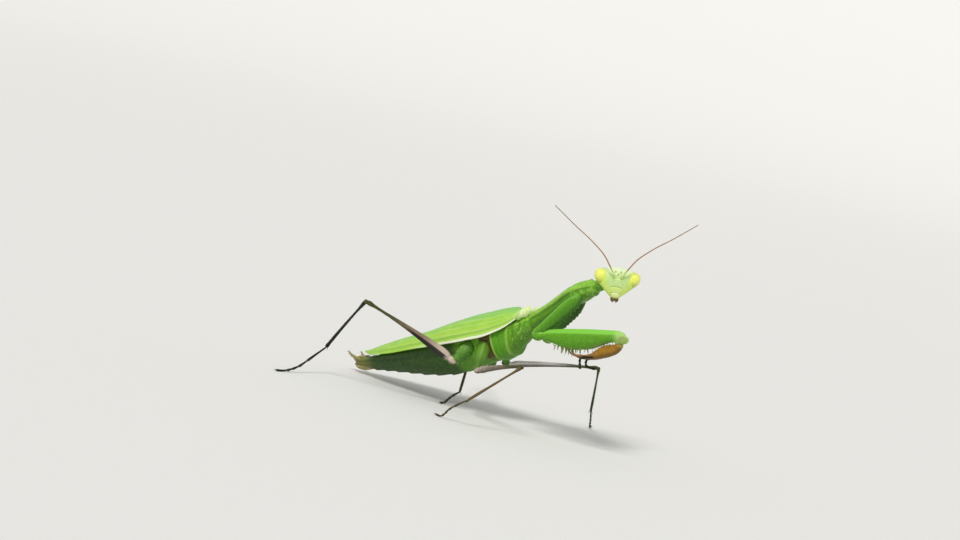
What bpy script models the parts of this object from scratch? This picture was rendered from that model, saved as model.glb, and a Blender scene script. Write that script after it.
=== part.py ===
"""Praying mantis (adult female, green form), a still life-size model.

Units are metres, +Z is up, the body points along +X and the floor is z = 0.
Every body part is its own closed solid; parts that meet are kept a small gap apart.
"""
import math

import bmesh
import bpy
import numpy as np
from mathutils import Matrix, Vector

MM = 0.001
GAP = 0.3            # mm left between two parts that meet
MIN_HALF = 0.27      # mm, half the thickness of the thinnest feeler or foot
CENTRE = (4.47, 1.31)  # mm, middle of the plan outline, moved to the origin

# ---------------------------------------------------------------- driving sizes (mm, degrees)
BODY_LINE = ((-24.0, 1.75), (-20.0, 2.95), (-16.0, 4.4), (-12.0, 5.8), (-8.0, 7.2),
             (-4.0, 8.6), (0.0, 10.3), (4.5, 12.9), (9.0, 15.3), (11.6, 17.3), (22.8, 26.0))

# position along X, half width, height above the line, depth below it
ABDOMEN = ((-0.35, 2.8, 2.6, 3.75), (-4.0, 3.2, 2.4, 3.75), (-8.0, 3.35, 2.2, 3.4),
           (-12.0, 2.9, 1.7, 2.8), (-16.0, 2.3, 1.1, 2.15), (-19.5, 1.6, 0.65, 1.55),
           (-22.2, 1.1, 0.5, 1.0), (-23.7, 0.75, 0.45, 0.6))
ABDOMEN_RINGS = 8
PTEROTHORAX = ((0.0, 2.8, 2.6, 3.75), (2.4, 2.95, 2.5, 3.7), (4.8, 2.95, 2.2, 3.8),
               (6.6, 2.8, 1.9, 4.0), (7.7, 2.65, 1.7, 3.7), (9.2, 2.3, 1.5, 2.65), (10.9, 2.0, 1.35, 1.9),
               (11.7, 1.65, 1.2, 1.5))
PROTHORAX = ((12.0, 1.65, 1.2, 1.3), (12.8, 1.75, 1.3, 1.3), (14.6, 1.55, 1.3, 1.15),
             (16.6, 1.65, 1.4, 1.2), (18.4, 2.2, 1.55, 1.4), (19.6, 2.45, 1.6, 1.5),
             (20.9, 2.15, 1.4, 1.4), (22.0, 1.7, 1.1, 1.2), (22.7, 1.2, 0.75, 0.9))

WING_RIDGE = ((10.3, 19.0), (9.4, 19.0), (3.0, 16.75), (-2.5, 14.1), (-8.0, 11.0), (-12.2, 9.0),
              (-17.0, 6.6), (-21.0, 4.5), (-22.2, 4.0))
WING_EDGE = ((10.3, 1.7, 18.3), (9.4, 2.7, 16.5), (6.5, 3.75, 13.9), (2.0, 4.25, 11.7),
             (-3.7, 4.4, 9.4), (-8.0, 4.3, 7.8), (-13.5, 3.75, 5.7), (-18.0, 2.75, 4.35),
             (-21.0, 1.5, 3.7), (-22.2, 0.6, 3.65))
WING_THICK = 0.55

HEAD_AT = (26.15, 0.0, 26.9)
HEAD_TURN, HEAD_TIP, HEAD_ROLL = -48.0, 6.0, 4.5
HEAD_RINGS = ((-2.1, 0.7, 0.6), (-1.55, 1.35, 0.95), (-0.95, 1.95, 1.2), (-0.3, 2.5, 1.4),
              (0.6, 2.85, 1.55), (1.4, 2.85, 1.45), (2.0, 2.5, 1.15), (2.4, 1.85, 0.8),
              (2.6, 1.0, 0.5))
EYE_AT, EYE_HALF = (0.0, 2.42, 0.9), (1.35, 1.1, 1.25)
ANTENNA_LINE = ((1.65, 0.6, 0.95), (2.3, 1.3, 2.3), (2.4, 2.4, 3.9), (2.3, 4.5, 5.8),
                (2.0, 7.3, 7.8), (1.5, 11.0, 10.6))

# leg joints: coxa root, then (turn from +X, lift from level, length) of each segment
LEGS = {
    "fore_right": dict(root=(21.4, -1.9, 23.9), coxa=(-155.6, -53.3, 9.73), femur=(18.0, 12.7, 15.2)),
    "fore_left": dict(root=(19.0, 1.9, 22.8), coxa=(170.8, -48.5, 10.41), femur=(2.0, 14.0, 15.2)),
    "mid_right": dict(root=(4.7, -2.2, 12.0), coxa=(-57.5, -56.3, 5.0), femur=(-17.5, 15.5, 13.5),
                      tibia=(-161.0, -43.5, 10.6), foot=(5.0, -9.8)),
    "mid_left": dict(root=(5.2, 2.2, 11.8), coxa=(116.0, -53.0, 3.8), femur=(36.0, 10.8, 14.9),
                     tibia=(127.0, -48.0, 10.8), foot=(8.6, 23.2)),
    "hind_right": dict(root=(2.0, -2.2, 11.0), coxa=(-112.0, -51.5, 3.85), femur=(-138.5, 22.0, 16.9),
                       tibia=(162.5, -44.5, 14.0), foot=(-20.6, -20.6), sag=1.1),
    "hind_left": dict(root=(2.0, 2.2, 11.0), coxa=(112.0, -51.5, 3.85), femur=(143.0, 14.0, 16.6),
                      tibia=(-53.0, -44.0, 14.9), foot=(-3.6, 0.1)),
}
FORE_TARSUS_BACK = 1.9
# fraction of the length, half width, half depth upward, half depth downward
FORE_COXA = ((0.0, 0.8, 0.8, 0.8), (0.2, 1.0, 1.05, 1.05), (0.5, 0.95, 1.0, 1.0),
             (0.85, 0.8, 0.85, 0.85), (1.0, 0.6, 0.65, 0.65))
FORE_FEMUR = ((0.0, 0.5, 0.5, 0.5), (0.05, 0.7, 0.75, 0.75), (0.14, 0.8, 0.95, 1.1),
              (0.28, 0.92, 1.1, 1.8), (0.42, 0.95, 1.15, 1.88), (0.58, 0.9, 1.18, 1.72),
              (0.7, 0.82, 1.15, 1.15), (0.82, 0.75, 1.1, 0.65), (0.93, 0.7, 1.0, 0.65),
              (1.0, 0.4, 0.5, 0.4))
COXA = ((0.0, 1.2, 1.2, 1.2), (0.35, 1.15, 1.15, 1.15), (0.7, 0.95, 0.95, 0.95),
        (0.93, 0.75, 0.75, 0.75), (1.0, 0.45, 0.45, 0.45))
HIND_FEMUR = ((0.0, 0.4, 0.45, 0.45), (0.04, 0.6, 0.7, 0.7), (0.2, 0.65, 0.8, 0.8),
              (0.4, 0.5, 0.6, 0.6), (0.6, 0.36, 0.41, 0.41), (0.9, 0.28, 0.31, 0.31),
              (0.97, 0.36, 0.44, 0.4), (1.0, 0.25, 0.28, 0.28))
MID_COXA = tuple((t, wide * 0.85, up * 0.85, down * 0.85) for t, wide, up, down in COXA)
MID_FEMUR = ((0.0, 0.3, 0.32, 0.32), (0.04, 0.44, 0.52, 0.52), (0.2, 0.44, 0.52, 0.52),
             (0.6, 0.32, 0.36, 0.36), (0.9, 0.27, 0.28, 0.28), (0.97, 0.3, 0.35, 0.33),
             (1.0, 0.22, 0.25, 0.25))
TIBIA = ((0.0, 0.28, 0.3, 0.3), (0.04, 0.34, 0.36, 0.36), (0.12, 0.28, 0.29, 0.29),
         (0.6, 0.28, 0.29, 0.29), (0.94, 0.3, 0.32, 0.32), (1.0, 0.22, 0.22, 0.22))

COLOURS = {
    "body_green": (0.12, 0.32, 0.06), "fore_green": (0.13, 0.42, 0.05),
    "wing_green": (0.36, 0.55, 0.14), "head_mint": (0.5, 0.62, 0.4), "eye_yellow": (0.68, 0.62, 0.12),
    "mouth_brown": (0.3, 0.17, 0.07), "feeler_brown": (0.3, 0.2, 0.1),
    "abdomen_green": (0.06, 0.2, 0.04), "abdomen_tip": (0.33, 0.3, 0.17),
    "tibia_orange": (0.5, 0.24, 0.05), "femur_pink": (0.5, 0.42, 0.35), "leg_dark": (0.06, 0.06, 0.03),
}

# ---------------------------------------------------------------- scene and materials
for old in list(bpy.data.objects):
    bpy.data.objects.remove(old, do_unlink=True)

PARTS = bpy.data.collections.new("praying_mantis")
CUTTERS = bpy.data.collections.new("cutters")
for coll in (PARTS, CUTTERS):
    bpy.context.scene.collection.children.link(coll)
CUTTERS.hide_render = True


def material(name, colour):
    """A plain Principled material in one colour."""
    mat = bpy.data.materials.new(name)
    mat.use_nodes = True
    shader = mat.node_tree.nodes["Principled BSDF"]
    shader.inputs["Base Color"].default_value = (*colour, 1.0)
    shader.inputs["Roughness"].default_value = 0.45
    mat.diffuse_color = (*colour, 1.0)
    return mat


def new_object(name, mesh, coll, colour=None):
    """Link a mesh as an object, smooth shaded, with its own material."""
    obj = bpy.data.objects.new(name, mesh)
    coll.objects.link(obj)
    if coll is CUTTERS:
        obj.hide_render = True
        obj.display_type = "WIRE"
    if colour:
        mesh.materials.append(material(name + "_mat", COLOURS[colour]))
    mesh.shade_smooth()
    return obj


# ---------------------------------------------------------------- vectors and frames
def heading(turn, lift):
    """Unit vector at an angle round from +X and an angle up from level."""
    a, e = math.radians(turn), math.radians(lift)
    return Vector((math.cos(a) * math.cos(e), math.sin(a) * math.cos(e), math.sin(e)))


def frame(forward, up=Vector((0, 0, 1))):
    """Side and up vectors square to a forward direction."""
    forward = forward.normalized()
    side = up.cross(forward)
    if side.length < 1e-4:
        side = Vector((0, 1, 0))
    side.normalize()
    return side, forward.cross(side).normalized()


def body_point(x):
    """Point on the body line, and the direction of the line there, for a position along X."""
    xs, zs = zip(*BODY_LINE)
    z = float(np.interp(x, xs, zs))
    rise = float(np.interp(x + 1.2, xs, zs) - np.interp(x - 1.2, xs, zs))
    run = min(x + 1.2, xs[-1]) - max(x - 1.2, xs[0])
    return Vector((x, 0, z)), Vector((run, 0, rise)).normalized()


def head_frame():
    """Matrix that takes head measurements (front, left, up) to the body's frame."""
    turn = Matrix.Rotation(math.radians(HEAD_TURN), 4, "Z")
    tip = Matrix.Rotation(math.radians(-HEAD_TIP), 4, "Y")
    roll = Matrix.Rotation(math.radians(HEAD_ROLL), 4, "X")
    return Matrix.Translation(Vector(HEAD_AT)) @ turn @ tip @ roll


HEAD = head_frame()

# ---------------------------------------------------------------- building functions


def ring(centre, side, up, wide, above, below, count):
    """Points of an oval with separate height above and depth below its centre."""
    points = []
    for i in range(count):
        a = 2 * math.pi * i / count
        rise = above if math.sin(a) > 0 else below
        points.append(centre + side * (wide * math.cos(a)) + up * (rise * math.sin(a)))
    return points


def jointed(name, start, end, profile, colour, before, count=10, trim=(0.3, 0.3)):
    """Leg segment cut clear of the one before it; returns it and a tool for the next one."""
    segment = limb(name, start, end, profile, colour, count, trim)
    boolean(segment, before, "DIFFERENCE")
    return segment, limb(name + "_clear", start, end, profile, None, count, (0.0, 0.0), GAP)


def face_outward(bm):
    """Turn every face of a closed skin outward."""
    bmesh.ops.recalc_face_normals(bm, faces=bm.faces)
    if bm.calc_volume(signed=True) < 0:
        bmesh.ops.reverse_faces(bm, faces=bm.faces)


def loft(name, rings, coll, colour=None, on_floor=False):
    """Closed skin over a row of rings, with flat ends; rings may be cut off level at the floor."""
    bm = bmesh.new()
    rows = []
    for points in rings:
        if on_floor:
            points = [Vector((p.x, p.y, max(p.z, 0.0))) for p in points]
        rows.append([bm.verts.new((p - Vector((*CENTRE, 0.0))) * MM) for p in points])
    count = len(rows[0])
    for low, high in zip(rows, rows[1:]):
        for i in range(count):
            j = (i + 1) % count
            bm.faces.new((low[i], low[j], high[j], high[i]))
    bm.faces.new(rows[0][::-1])
    bm.faces.new(rows[-1])
    face_outward(bm)
    mesh = bpy.data.meshes.new(name)
    bm.to_mesh(mesh)
    bm.free()
    return new_object(name, mesh, coll, colour)


def body_loft(name, stations, coll, colour=None, grow=0.0, count=16):
    """Trunk section carried along the body line; grow makes it fatter and longer all round."""
    rings = []
    ends = (min(row[0] for row in stations), max(row[0] for row in stations))
    for x, wide, above, below in stations:
        x += grow if x == ends[1] else -grow if x == ends[0] else 0.0
        centre, along = body_point(x)
        side, up = frame(along)
        rings.append(ring(centre, side, up, wide + grow, above + grow, below + grow, count))
    return loft(name, rings, coll, colour)


def limb(name, start, end, profile, colour, count=10, trim=(GAP / 2, GAP / 2), grow=0.0):
    """Straight leg segment from start to end with a profile along its length."""
    along = (end - start).normalized()
    start, end = start + along * trim[0], end - along * trim[1]
    side, up = frame(along)
    rings = [ring(start.lerp(end, t), side, up, wide + grow, above + grow, below + grow, count)
             for t, wide, above, below in profile]
    return loft(name, rings, CUTTERS if grow else PARTS, colour)


def tube(name, points, halves, colour, count=8, on_floor=False, flat=1.0):
    """Round tube along a bent line; halves gives the half thickness at each point."""
    rings = []
    for i, point in enumerate(points):
        before, after = points[max(i - 1, 0)], points[min(i + 1, len(points) - 1)]
        side, up = frame(after - before)
        rings.append(ring(point, side, up, halves[i], halves[i] * flat, halves[i] * flat, count))
    return loft(name, rings, PARTS, colour, on_floor)


def ball(name, centre, halves, matrix, coll, colour=None, segments=20, rows=12):
    """Ellipsoid given in the head's frame."""
    bm = bmesh.new()
    bmesh.ops.create_uvsphere(bm, u_segments=segments, v_segments=rows, radius=1.0)
    shape = Matrix.Diagonal((*halves, 1.0))
    shift = Matrix.Translation(-Vector((*CENTRE, 0.0)))
    place = Matrix.Scale(MM, 4) @ shift @ matrix @ Matrix.Translation(Vector(centre)) @ shape
    bmesh.ops.transform(bm, matrix=place, verts=bm.verts)
    mesh = bpy.data.meshes.new(name)
    bm.to_mesh(mesh)
    bm.free()
    return new_object(name, mesh, coll, colour)


def boolean(obj, tool, operation):
    """Apply one exact boolean and keep the tool out of the finished parts."""
    mod = obj.modifiers.new(operation.lower(), "BOOLEAN")
    mod.operation = operation
    mod.solver = "EXACT"
    mod.object = tool
    apply_modifiers(obj)


def apply_modifiers(obj):
    """Replace an object's mesh with the result of its modifiers."""
    graph = bpy.context.evaluated_depsgraph_get()
    mesh = bpy.data.meshes.new_from_object(obj.evaluated_get(graph))
    obj.modifiers.clear()
    obj.data = mesh
    bm = bmesh.new()
    bm.from_mesh(mesh)
    bmesh.ops.remove_doubles(bm, verts=bm.verts, dist=2e-6)
    keep_largest(bm)
    face_outward(bm)
    bm.to_mesh(mesh)
    bm.free()


def keep_largest(bm):
    """Drop the small offcuts a cut can leave beside the main body."""
    left, islands = set(bm.verts), []
    while left:
        stack, island = [left.pop()], []
        while stack:
            vert = stack.pop()
            island.append(vert)
            near = [edge.other_vert(vert) for edge in vert.link_edges]
            stack += [other for other in near if other in left]
            left.difference_update(near)
        islands.append(island)
    for island in sorted(islands, key=len)[:-1]:
        bmesh.ops.delete(bm, geom=island, context="VERTS")


def spike(start, end, half, count=5):
    """Pointed cone from a broad foot to a fine blunt tip, joined on or cut by the caller."""
    side, up = frame(end - start)
    rings = [ring(start, side, up, half, half, half, count),
             ring(end, side, up, half * 0.25, half * 0.25, half * 0.25, count)]
    return loft("spine_tool", rings, CUTTERS)


# ---------------------------------------------------------------- trunk
abdomen_stations = []
abdomen_x = [row[0] for row in ABDOMEN][::-1]
segment_ends = np.linspace(ABDOMEN[0][0], ABDOMEN[-1][0], ABDOMEN_RINGS + 1)
for a, b in zip(segment_ends, segment_ends[1:]):
    for t, swell in ((0.0, 0.97), (0.22, 1.0), (0.8, 1.02)):
        x = a + (b - a) * t
        sizes = [float(np.interp(x, abdomen_x, [row[k] for row in ABDOMEN][::-1])) for k in (1, 2, 3)]
        abdomen_stations.append((x, *[value * swell for value in sizes]))
abdomen_stations.append(ABDOMEN[-1])
body_loft("abdomen", abdomen_stations, PARTS, "abdomen_green", count=16)

body_loft("pterothorax", PTEROTHORAX, PARTS, "body_green", count=18)
body_loft("prothorax", PROTHORAX, PARTS, "body_green", count=18)
thorax_cutter = body_loft("thorax_cutter", PTEROTHORAX, CUTTERS, grow=GAP)
prothorax_cutter = body_loft("prothorax_cutter", PROTHORAX, CUTTERS, grow=GAP)

for side_name, s in (("left", 1), ("right", -1)):
    line = [Vector((-22.9, 0.85 * s, 2.35)), Vector((-23.7, 1.15 * s, 2.45)),
            Vector((-24.5, 1.4 * s, 2.75)), Vector((-25.1, 1.5 * s, 3.15))]
    tube("cercus_" + side_name, line, (0.3, 0.36, 0.3, 0.15), "abdomen_tip", count=7)
abdomen_cutter = body_loft("abdomen_cutter", ABDOMEN, CUTTERS, grow=GAP)
for side_name in ("left", "right"):
    boolean(PARTS.objects["cercus_" + side_name], abdomen_cutter, "DIFFERENCE")

# ---------------------------------------------------------------- wings
ridge_x, ridge_z = zip(*WING_RIDGE[::-1])
edge_x, edge_y, edge_z = zip(*WING_EDGE[::-1])


def wing(name, s):
    """Fore wing: a roof from the ridge down to the outer edge, given a thickness inward."""
    along = np.concatenate([[10.3, 9.4, 8.0], np.linspace(6.5, -18.0, 10), [-20.0, -21.4, -22.2]])
    across = np.linspace(0.0, 1.0, 7)
    bm = bmesh.new()
    rows = []
    for x in along:
        top, half = np.interp(x, ridge_x, ridge_z), np.interp(x, edge_x, edge_y)
        low = np.interp(x, edge_x, edge_z)
        row = []
        for t in across:
            a = t * math.pi / 2
            y = GAP / 2 + (half - GAP / 2) * math.sin(a)
            z = low + (top - low) * math.cos(a) ** 0.85
            row.append(bm.verts.new(Vector((x - CENTRE[0], s * y - CENTRE[1], z)) * MM))
        rows.append(row)
    for a, b in zip(rows, rows[1:]):
        for i in range(len(across) - 1):
            quad = (a[i], a[i + 1], b[i + 1], b[i])
            bm.faces.new(quad if s > 0 else quad[::-1])
    mesh = bpy.data.meshes.new(name)
    bm.to_mesh(mesh)
    bm.free()
    obj = new_object(name, mesh, PARTS, "wing_green")
    solid = obj.modifiers.new("thickness", "SOLIDIFY")
    solid.thickness = WING_THICK * MM
    solid.offset = -1.0
    solid.use_even_offset = False
    apply_modifiers(obj)
    return obj


for side_name, s in (("left", 1), ("right", -1)):
    wing("tegmen_" + side_name, s)

# ---------------------------------------------------------------- head


def head_loft(name, rows, coll, colour, front=0.0, count=18):
    """Head section stack: (height, half width, half depth) rings in the head's frame."""
    rings = []
    for height, wide, deep in rows:
        rings.append([HEAD @ Vector((front + deep * math.sin(a), wide * math.cos(a), height))
                      for a in (2 * math.pi * i / count for i in range(count))])
    return loft(name, rings, coll, colour)


head = head_loft("head", HEAD_RINGS, PARTS, "head_mint")
head_cutter = head_loft("head_cutter", [(h + (GAP if h > 0 else -GAP), w + GAP, d + GAP)
                                        for h, w, d in HEAD_RINGS], CUTTERS, None)
for side_name, s in (("left", 1), ("right", -1)):
    at = (EYE_AT[0], EYE_AT[1] * s, EYE_AT[2])
    ball("eye_" + side_name, at, EYE_HALF, HEAD, PARTS, "eye_yellow")
    socket = ball("eye_socket_" + side_name, at, [h + 0.2 for h in EYE_HALF], HEAD, CUTTERS)
    boolean(head, socket, "DIFFERENCE")
    line = [HEAD @ Vector((f, l * s, h)) for f, l, h in ANTENNA_LINE]
    tube("antenna_" + side_name, line, (0.34, 0.32, MIN_HALF, MIN_HALF, MIN_HALF, MIN_HALF - 0.02),
         "feeler_brown", count=7)
    boolean(PARTS.objects["antenna_" + side_name], head_cutter, "DIFFERENCE")

head_loft("mouthparts", ((-2.15, 0.6, 0.5), (-2.35, 0.72, 0.62), (-2.65, 0.55, 0.5), (-2.95, 0.3, 0.3)),
          PARTS, "mouth_brown", front=0.05, count=12)

neck_line = [body_point(22.2)[0], body_point(22.8)[0] + Vector((0.4, 0.1, 0.2)),
             HEAD @ Vector((-1.6, 0.0, 0.1)), HEAD @ Vector((-0.9, 0.0, 0.2))]
neck = tube("neck", neck_line, (0.85, 0.85, 0.85, 0.8), "body_green", count=12)
boolean(neck, prothorax_cutter, "DIFFERENCE")
boolean(neck, head_cutter, "DIFFERENCE")

# ---------------------------------------------------------------- legs
JOINTS = {}


def leg_joints(leg, sizes):
    """Root, trochanter, knee and ankle of one leg from its angles and lengths."""
    points = [Vector(sizes["root"])]
    for part in ("coxa", "femur", "tibia"):
        if part in sizes:
            turn, lift, length = sizes[part]
            points.append(points[-1] + heading(turn, lift) * length)
    JOINTS[leg] = points
    return points


def walking_leg(leg, sizes):
    """Coxa, femur, tibia and foot of a mid or hind leg; the foot ends in a small flat."""
    root, hip, knee, ankle = leg_joints(leg, sizes)
    pair, side_name = leg.split("_")
    cone, profile = (COXA, HIND_FEMUR) if pair == "hind" else (MID_COXA, MID_FEMUR)
    coxa, clear = jointed(f"{pair}_coxa_{side_name}", root, hip, cone, "body_green", thorax_cutter,
                          trim=(0.0, 0.4))
    femur, clear = jointed(f"{pair}_femur_{side_name}", hip, knee, profile, "femur_pink", clear)
    jointed(f"{pair}_tibia_{side_name}", knee, ankle, TIBIA, "leg_dark", clear, 8, (0.1, 0.2))
    foot = Vector((*sizes["foot"], 0.2))
    step = foot - ankle
    level = Vector((step.x, step.y, 0.0)).normalized()
    sag = sizes.get("sag", 0.0)
    line = [ankle + step.normalized() * 0.35, ankle + step * 0.3 + Vector((0, 0, 0.1 - sag * 0.65)),
            ankle + step * 0.55 + Vector((0, 0, 0.05 - sag)), foot - level * 0.9, foot,
            foot + level * 0.45]
    tube(f"{pair}_tarsus_{side_name}", line, (0.25, 0.28, MIN_HALF, 0.3, 0.34, 0.2), "leg_dark",
         on_floor=True)


def fore_leg(leg, sizes):
    """Raptorial fore leg: coxa, spined femur, folded tibia ending in a hook, and tarsus."""
    root, hip, knee = leg_joints(leg, sizes)
    side_name = leg.split("_")[1]
    s = 1 if side_name == "left" else -1
    coxa, clear = jointed(f"fore_coxa_{side_name}", root, hip, FORE_COXA, "fore_green",
                          prothorax_cutter, 12, (0.0, 0.4))
    femur, clear = jointed(f"fore_femur_{side_name}", hip, knee, FORE_FEMUR, "fore_green", clear, 14,
                           (0.35, 0.15))
    along = (knee - hip).normalized()
    side, up = frame(along)
    outer = side * s
    for t, long in ((0.3, 0.9), (0.38, 1.1), (0.46, 1.2), (0.54, 1.0)):
        at = hip.lerp(knee, t) + outer * 0.6 - up * 1.0
        boolean(femur, spike(at, at - up * long + outer * 0.35, 0.26), "UNION")
    hinge = knee - along * 0.9 - up * 1.2
    bend = hinge - along * 4.6 - up * 1.7 - outer * 0.1
    tip = bend - along * 4.3 + up * 0.45
    line = [hinge, hinge.lerp(bend, 0.15), hinge.lerp(bend, 0.55), bend, bend.lerp(tip, 0.45) - up * 0.3,
            tip + up * 0.1]
    tibia = tube(f"fore_tibia_{side_name}", line, (0.4, 0.5, 0.6, 0.45, 0.32, 0.12), "tibia_orange",
                 count=9, flat=1.25)
    for t in (0.3, 0.5, 0.7, 0.88):
        at = hinge.lerp(bend, t) - outer * 0.25
        boolean(tibia, spike(at, at + up * 0.45 - along * 0.2 - outer * 0.75, 0.25), "UNION")
    base = bend + outer * 0.8 - up * 0.35
    toe = (outer + along * 0.45).normalized()
    line = [base, base - along * FORE_TARSUS_BACK - up * 0.3]
    line += [line[1] - up * 0.6, line[1] - up * 0.95 + toe * 0.5, line[1] - up * 1.15 + toe * 1.5]
    tube(f"fore_tarsus_{side_name}", line, (0.3, 0.3, MIN_HALF, MIN_HALF, MIN_HALF - 0.02), "leg_dark")


for leg, sizes in LEGS.items():
    (fore_leg if leg.startswith("fore") else walking_leg)(leg, sizes)

for obj in PARTS.objects:
    obj.data.shade_smooth()
for obj in list(CUTTERS.objects):
    if obj.name.startswith("spine_tool"):
        bpy.data.objects.remove(obj, do_unlink=True)

corners = np.array([obj.matrix_world @ vert.co for obj in PARTS.objects for vert in obj.data.vertices])
faces = sum(len(poly.vertices) - 2 for obj in PARTS.objects for poly in obj.data.polygons)
print("parts", len(PARTS.objects), "triangles", faces)
print("low", np.round(corners.min(axis=0) / MM, 2), "high", np.round(corners.max(axis=0) / MM, 2))
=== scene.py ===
# %% [markdown]
# # A praying mantis, adult female, green form
# This lesson builds the skin, eyes, wings and legs of a life-size museum mantis over a packed
# frame of plain solids. A mantis is a row of hard shell plates: each leg piece, each wing cover
# and the head is a plate of its own, and only the trunk is one soft-jointed tube. So every
# plate is a closed surface worked out with numpy, and the trunk is a single skin.

import math

import bpy
import numpy as np
from mathutils import Matrix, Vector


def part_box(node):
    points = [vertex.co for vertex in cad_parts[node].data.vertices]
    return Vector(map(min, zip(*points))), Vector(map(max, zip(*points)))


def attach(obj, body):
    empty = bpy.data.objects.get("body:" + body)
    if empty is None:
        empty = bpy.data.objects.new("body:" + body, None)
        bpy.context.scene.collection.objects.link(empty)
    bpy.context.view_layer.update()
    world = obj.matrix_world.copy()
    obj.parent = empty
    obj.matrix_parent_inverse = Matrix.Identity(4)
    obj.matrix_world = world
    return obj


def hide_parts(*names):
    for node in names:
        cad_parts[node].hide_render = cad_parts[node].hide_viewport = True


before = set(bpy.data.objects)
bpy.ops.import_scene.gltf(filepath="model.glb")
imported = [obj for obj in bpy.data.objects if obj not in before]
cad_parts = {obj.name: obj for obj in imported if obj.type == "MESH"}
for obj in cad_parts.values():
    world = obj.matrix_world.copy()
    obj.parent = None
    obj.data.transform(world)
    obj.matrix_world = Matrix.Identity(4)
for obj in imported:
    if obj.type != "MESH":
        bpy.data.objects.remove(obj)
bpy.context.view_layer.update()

# %% [markdown]
# ## Drawing in millimetres
# An insect is drawn most easily in millimetres, with the tail near x = -24 and the head near
# x = 26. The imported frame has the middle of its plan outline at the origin, so one function
# shifts and scales finished points. The head is drawn upright and then turned by its pose. The
# eye solids say how well the drawing and the frame agree.

# %% Millimetres to the frame
MM = 0.001
PLAN_CENTRE = np.array((4.47, 1.31, 0.0))
STRAIGHT, UPWARD = (0, 0, 0), (0, 0, 1)
SIDES = (("left", 1), ("right", -1))


def to_frame(points):
    """Drawing point less the plan centre, times a thousandth: metres in the frame."""
    return (np.asarray(points, float) - PLAN_CENTRE) * MM


def unit(vectors):
    """Vectors divided by their own length."""
    vectors = np.asarray(vectors, float)
    return vectors / np.maximum(np.linalg.norm(vectors, axis=-1, keepdims=True), 1e-9)


def turned(axis, degrees):
    """Matrix of a turn about x (0), y (1) or z (2)."""
    c, s = math.cos(math.radians(degrees)), math.sin(math.radians(degrees))
    matrix = np.eye(3)
    i, j = (axis + 1) % 3, (axis + 2) % 3
    matrix[i, i], matrix[j, j], matrix[i, j], matrix[j, i] = c, c, -s, s
    return matrix


HEAD_AT = np.array((26.15, 0.0, 26.9))
HEAD_AXES = turned(2, -48.0) @ turned(1, -6.0) @ turned(0, 4.5)
EYE_AT = np.array((0.0, 2.42, 0.9))


def head_to_body(points):
    """Head measurements (front, left, up) turned by the head's pose and moved to its place."""
    return np.asarray(points, float) @ HEAD_AXES.T + HEAD_AT


eye_low, eye_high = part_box("eye_left")
eye_gap = np.array(eye_low + eye_high) / 2 - to_frame(head_to_body(EYE_AT))
print("eye is off its solid by", np.round(eye_gap * 1000, 3), "mm")

# %% [markdown]
# ## Helpers for smooth shapes
# Sizes along a limb are written as small tables, because that is how they are measured with
# callipers. A table becomes a smooth outline with a cubic between its rows, and a bend in a
# path is softened the same way. A Bezier curve object could do it too, but then the sizes would
# sit in its handles and not in a table that can be read. Masks that fade in and out place
# grooves, rims and keels.

# %% Smooth tables and paths


def curve(table, x, column=1):
    """Cubic between two rows of a table, whose slope at a row is the mean slope round it."""
    rows = np.asarray(table, float)
    rows = rows[np.argsort(rows[:, 0])]
    xs, ys = rows[:, 0], rows[:, column]
    slope = np.gradient(ys, xs)
    x = np.clip(np.asarray(x, float), xs[0], xs[-1])
    i = np.clip(np.searchsorted(xs, x) - 1, 0, len(xs) - 2)
    step = xs[i + 1] - xs[i]
    t = (x - xs[i]) / step
    return ((1 + 2 * t) * (1 - t) ** 2 * ys[i] + t * (1 - t) ** 2 * step * slope[i]
            + t * t * (3 - 2 * t) * ys[i + 1] + t * t * (t - 1) * step * slope[i + 1])


def halves(table, x):
    """Columns 1, 2 and 3 at x: half width, half height above and below, or a point's x, y, z."""
    return [curve(table, x, column) for column in (1, 2, 3)]


def soften(points, count):
    """Path through a few points: each coordinate is a smooth curve of the length walked."""
    points = np.asarray(points, float)
    walked = np.concatenate([[0.0], np.cumsum(np.linalg.norm(np.diff(points, axis=0), axis=1))])
    at = np.linspace(0.0, walked[-1], count)
    return np.column_stack(halves(np.column_stack([walked, points]), at))


def bowed(start, end, t, bow=STRAIGHT):
    """Points at fractions t of a straight line, pushed aside by 4 t (1 - t) of the bow."""
    t = np.atleast_1d(t)[:, None]
    return start + (np.asarray(end, float) - start) * t + np.asarray(bow, float) * (4 * t * (1 - t))


print("half way between 1 and 3 a smooth table gives", curve(((0, 1), (1, 3)), 0.5))

# %% Steps, bumps and rounded ends


def fade(low, high, x):
    """0 below low, 1 above high, an S-shaped rise between; low may be the larger."""
    t = np.clip((np.asarray(x, float) - low) / (high - low), 0.0, 1.0)
    return t * t * (3 - 2 * t)


def window(x, low, full, still_full, high):
    """0 below low, 1 from full to still_full, 0 above high, S-shaped between."""
    return fade(low, full, x) * fade(high, still_full, x)


def hump(x, middle, width):
    """Bell shape, 1 at the middle, about a third at one width away."""
    return np.exp(-(((np.asarray(x, float) - middle) / width) ** 2))


def domed(x, steep, start=0.0):
    """Square root of steep times x plus start, held to 1: rounds the end of a tube."""
    return np.sqrt(np.clip(x * steep + start, 0, 1))


def both_ends(t):
    """Distance to the nearer end of 0 to 1."""
    return np.minimum(t, 1 - t)


def signed_power(x, power):
    """Size of x to a power, with the sign of x: squares or sharpens a round section."""
    return np.sign(x) * np.abs(x) ** power


def round_angles(count):
    """Angles once round a ring, as one row."""
    return np.linspace(0.0, 2 * np.pi, count, endpoint=False)[None, :]


print("a bell one width from its middle is", round(float(hump(1, 0, 1)), 3))

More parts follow.
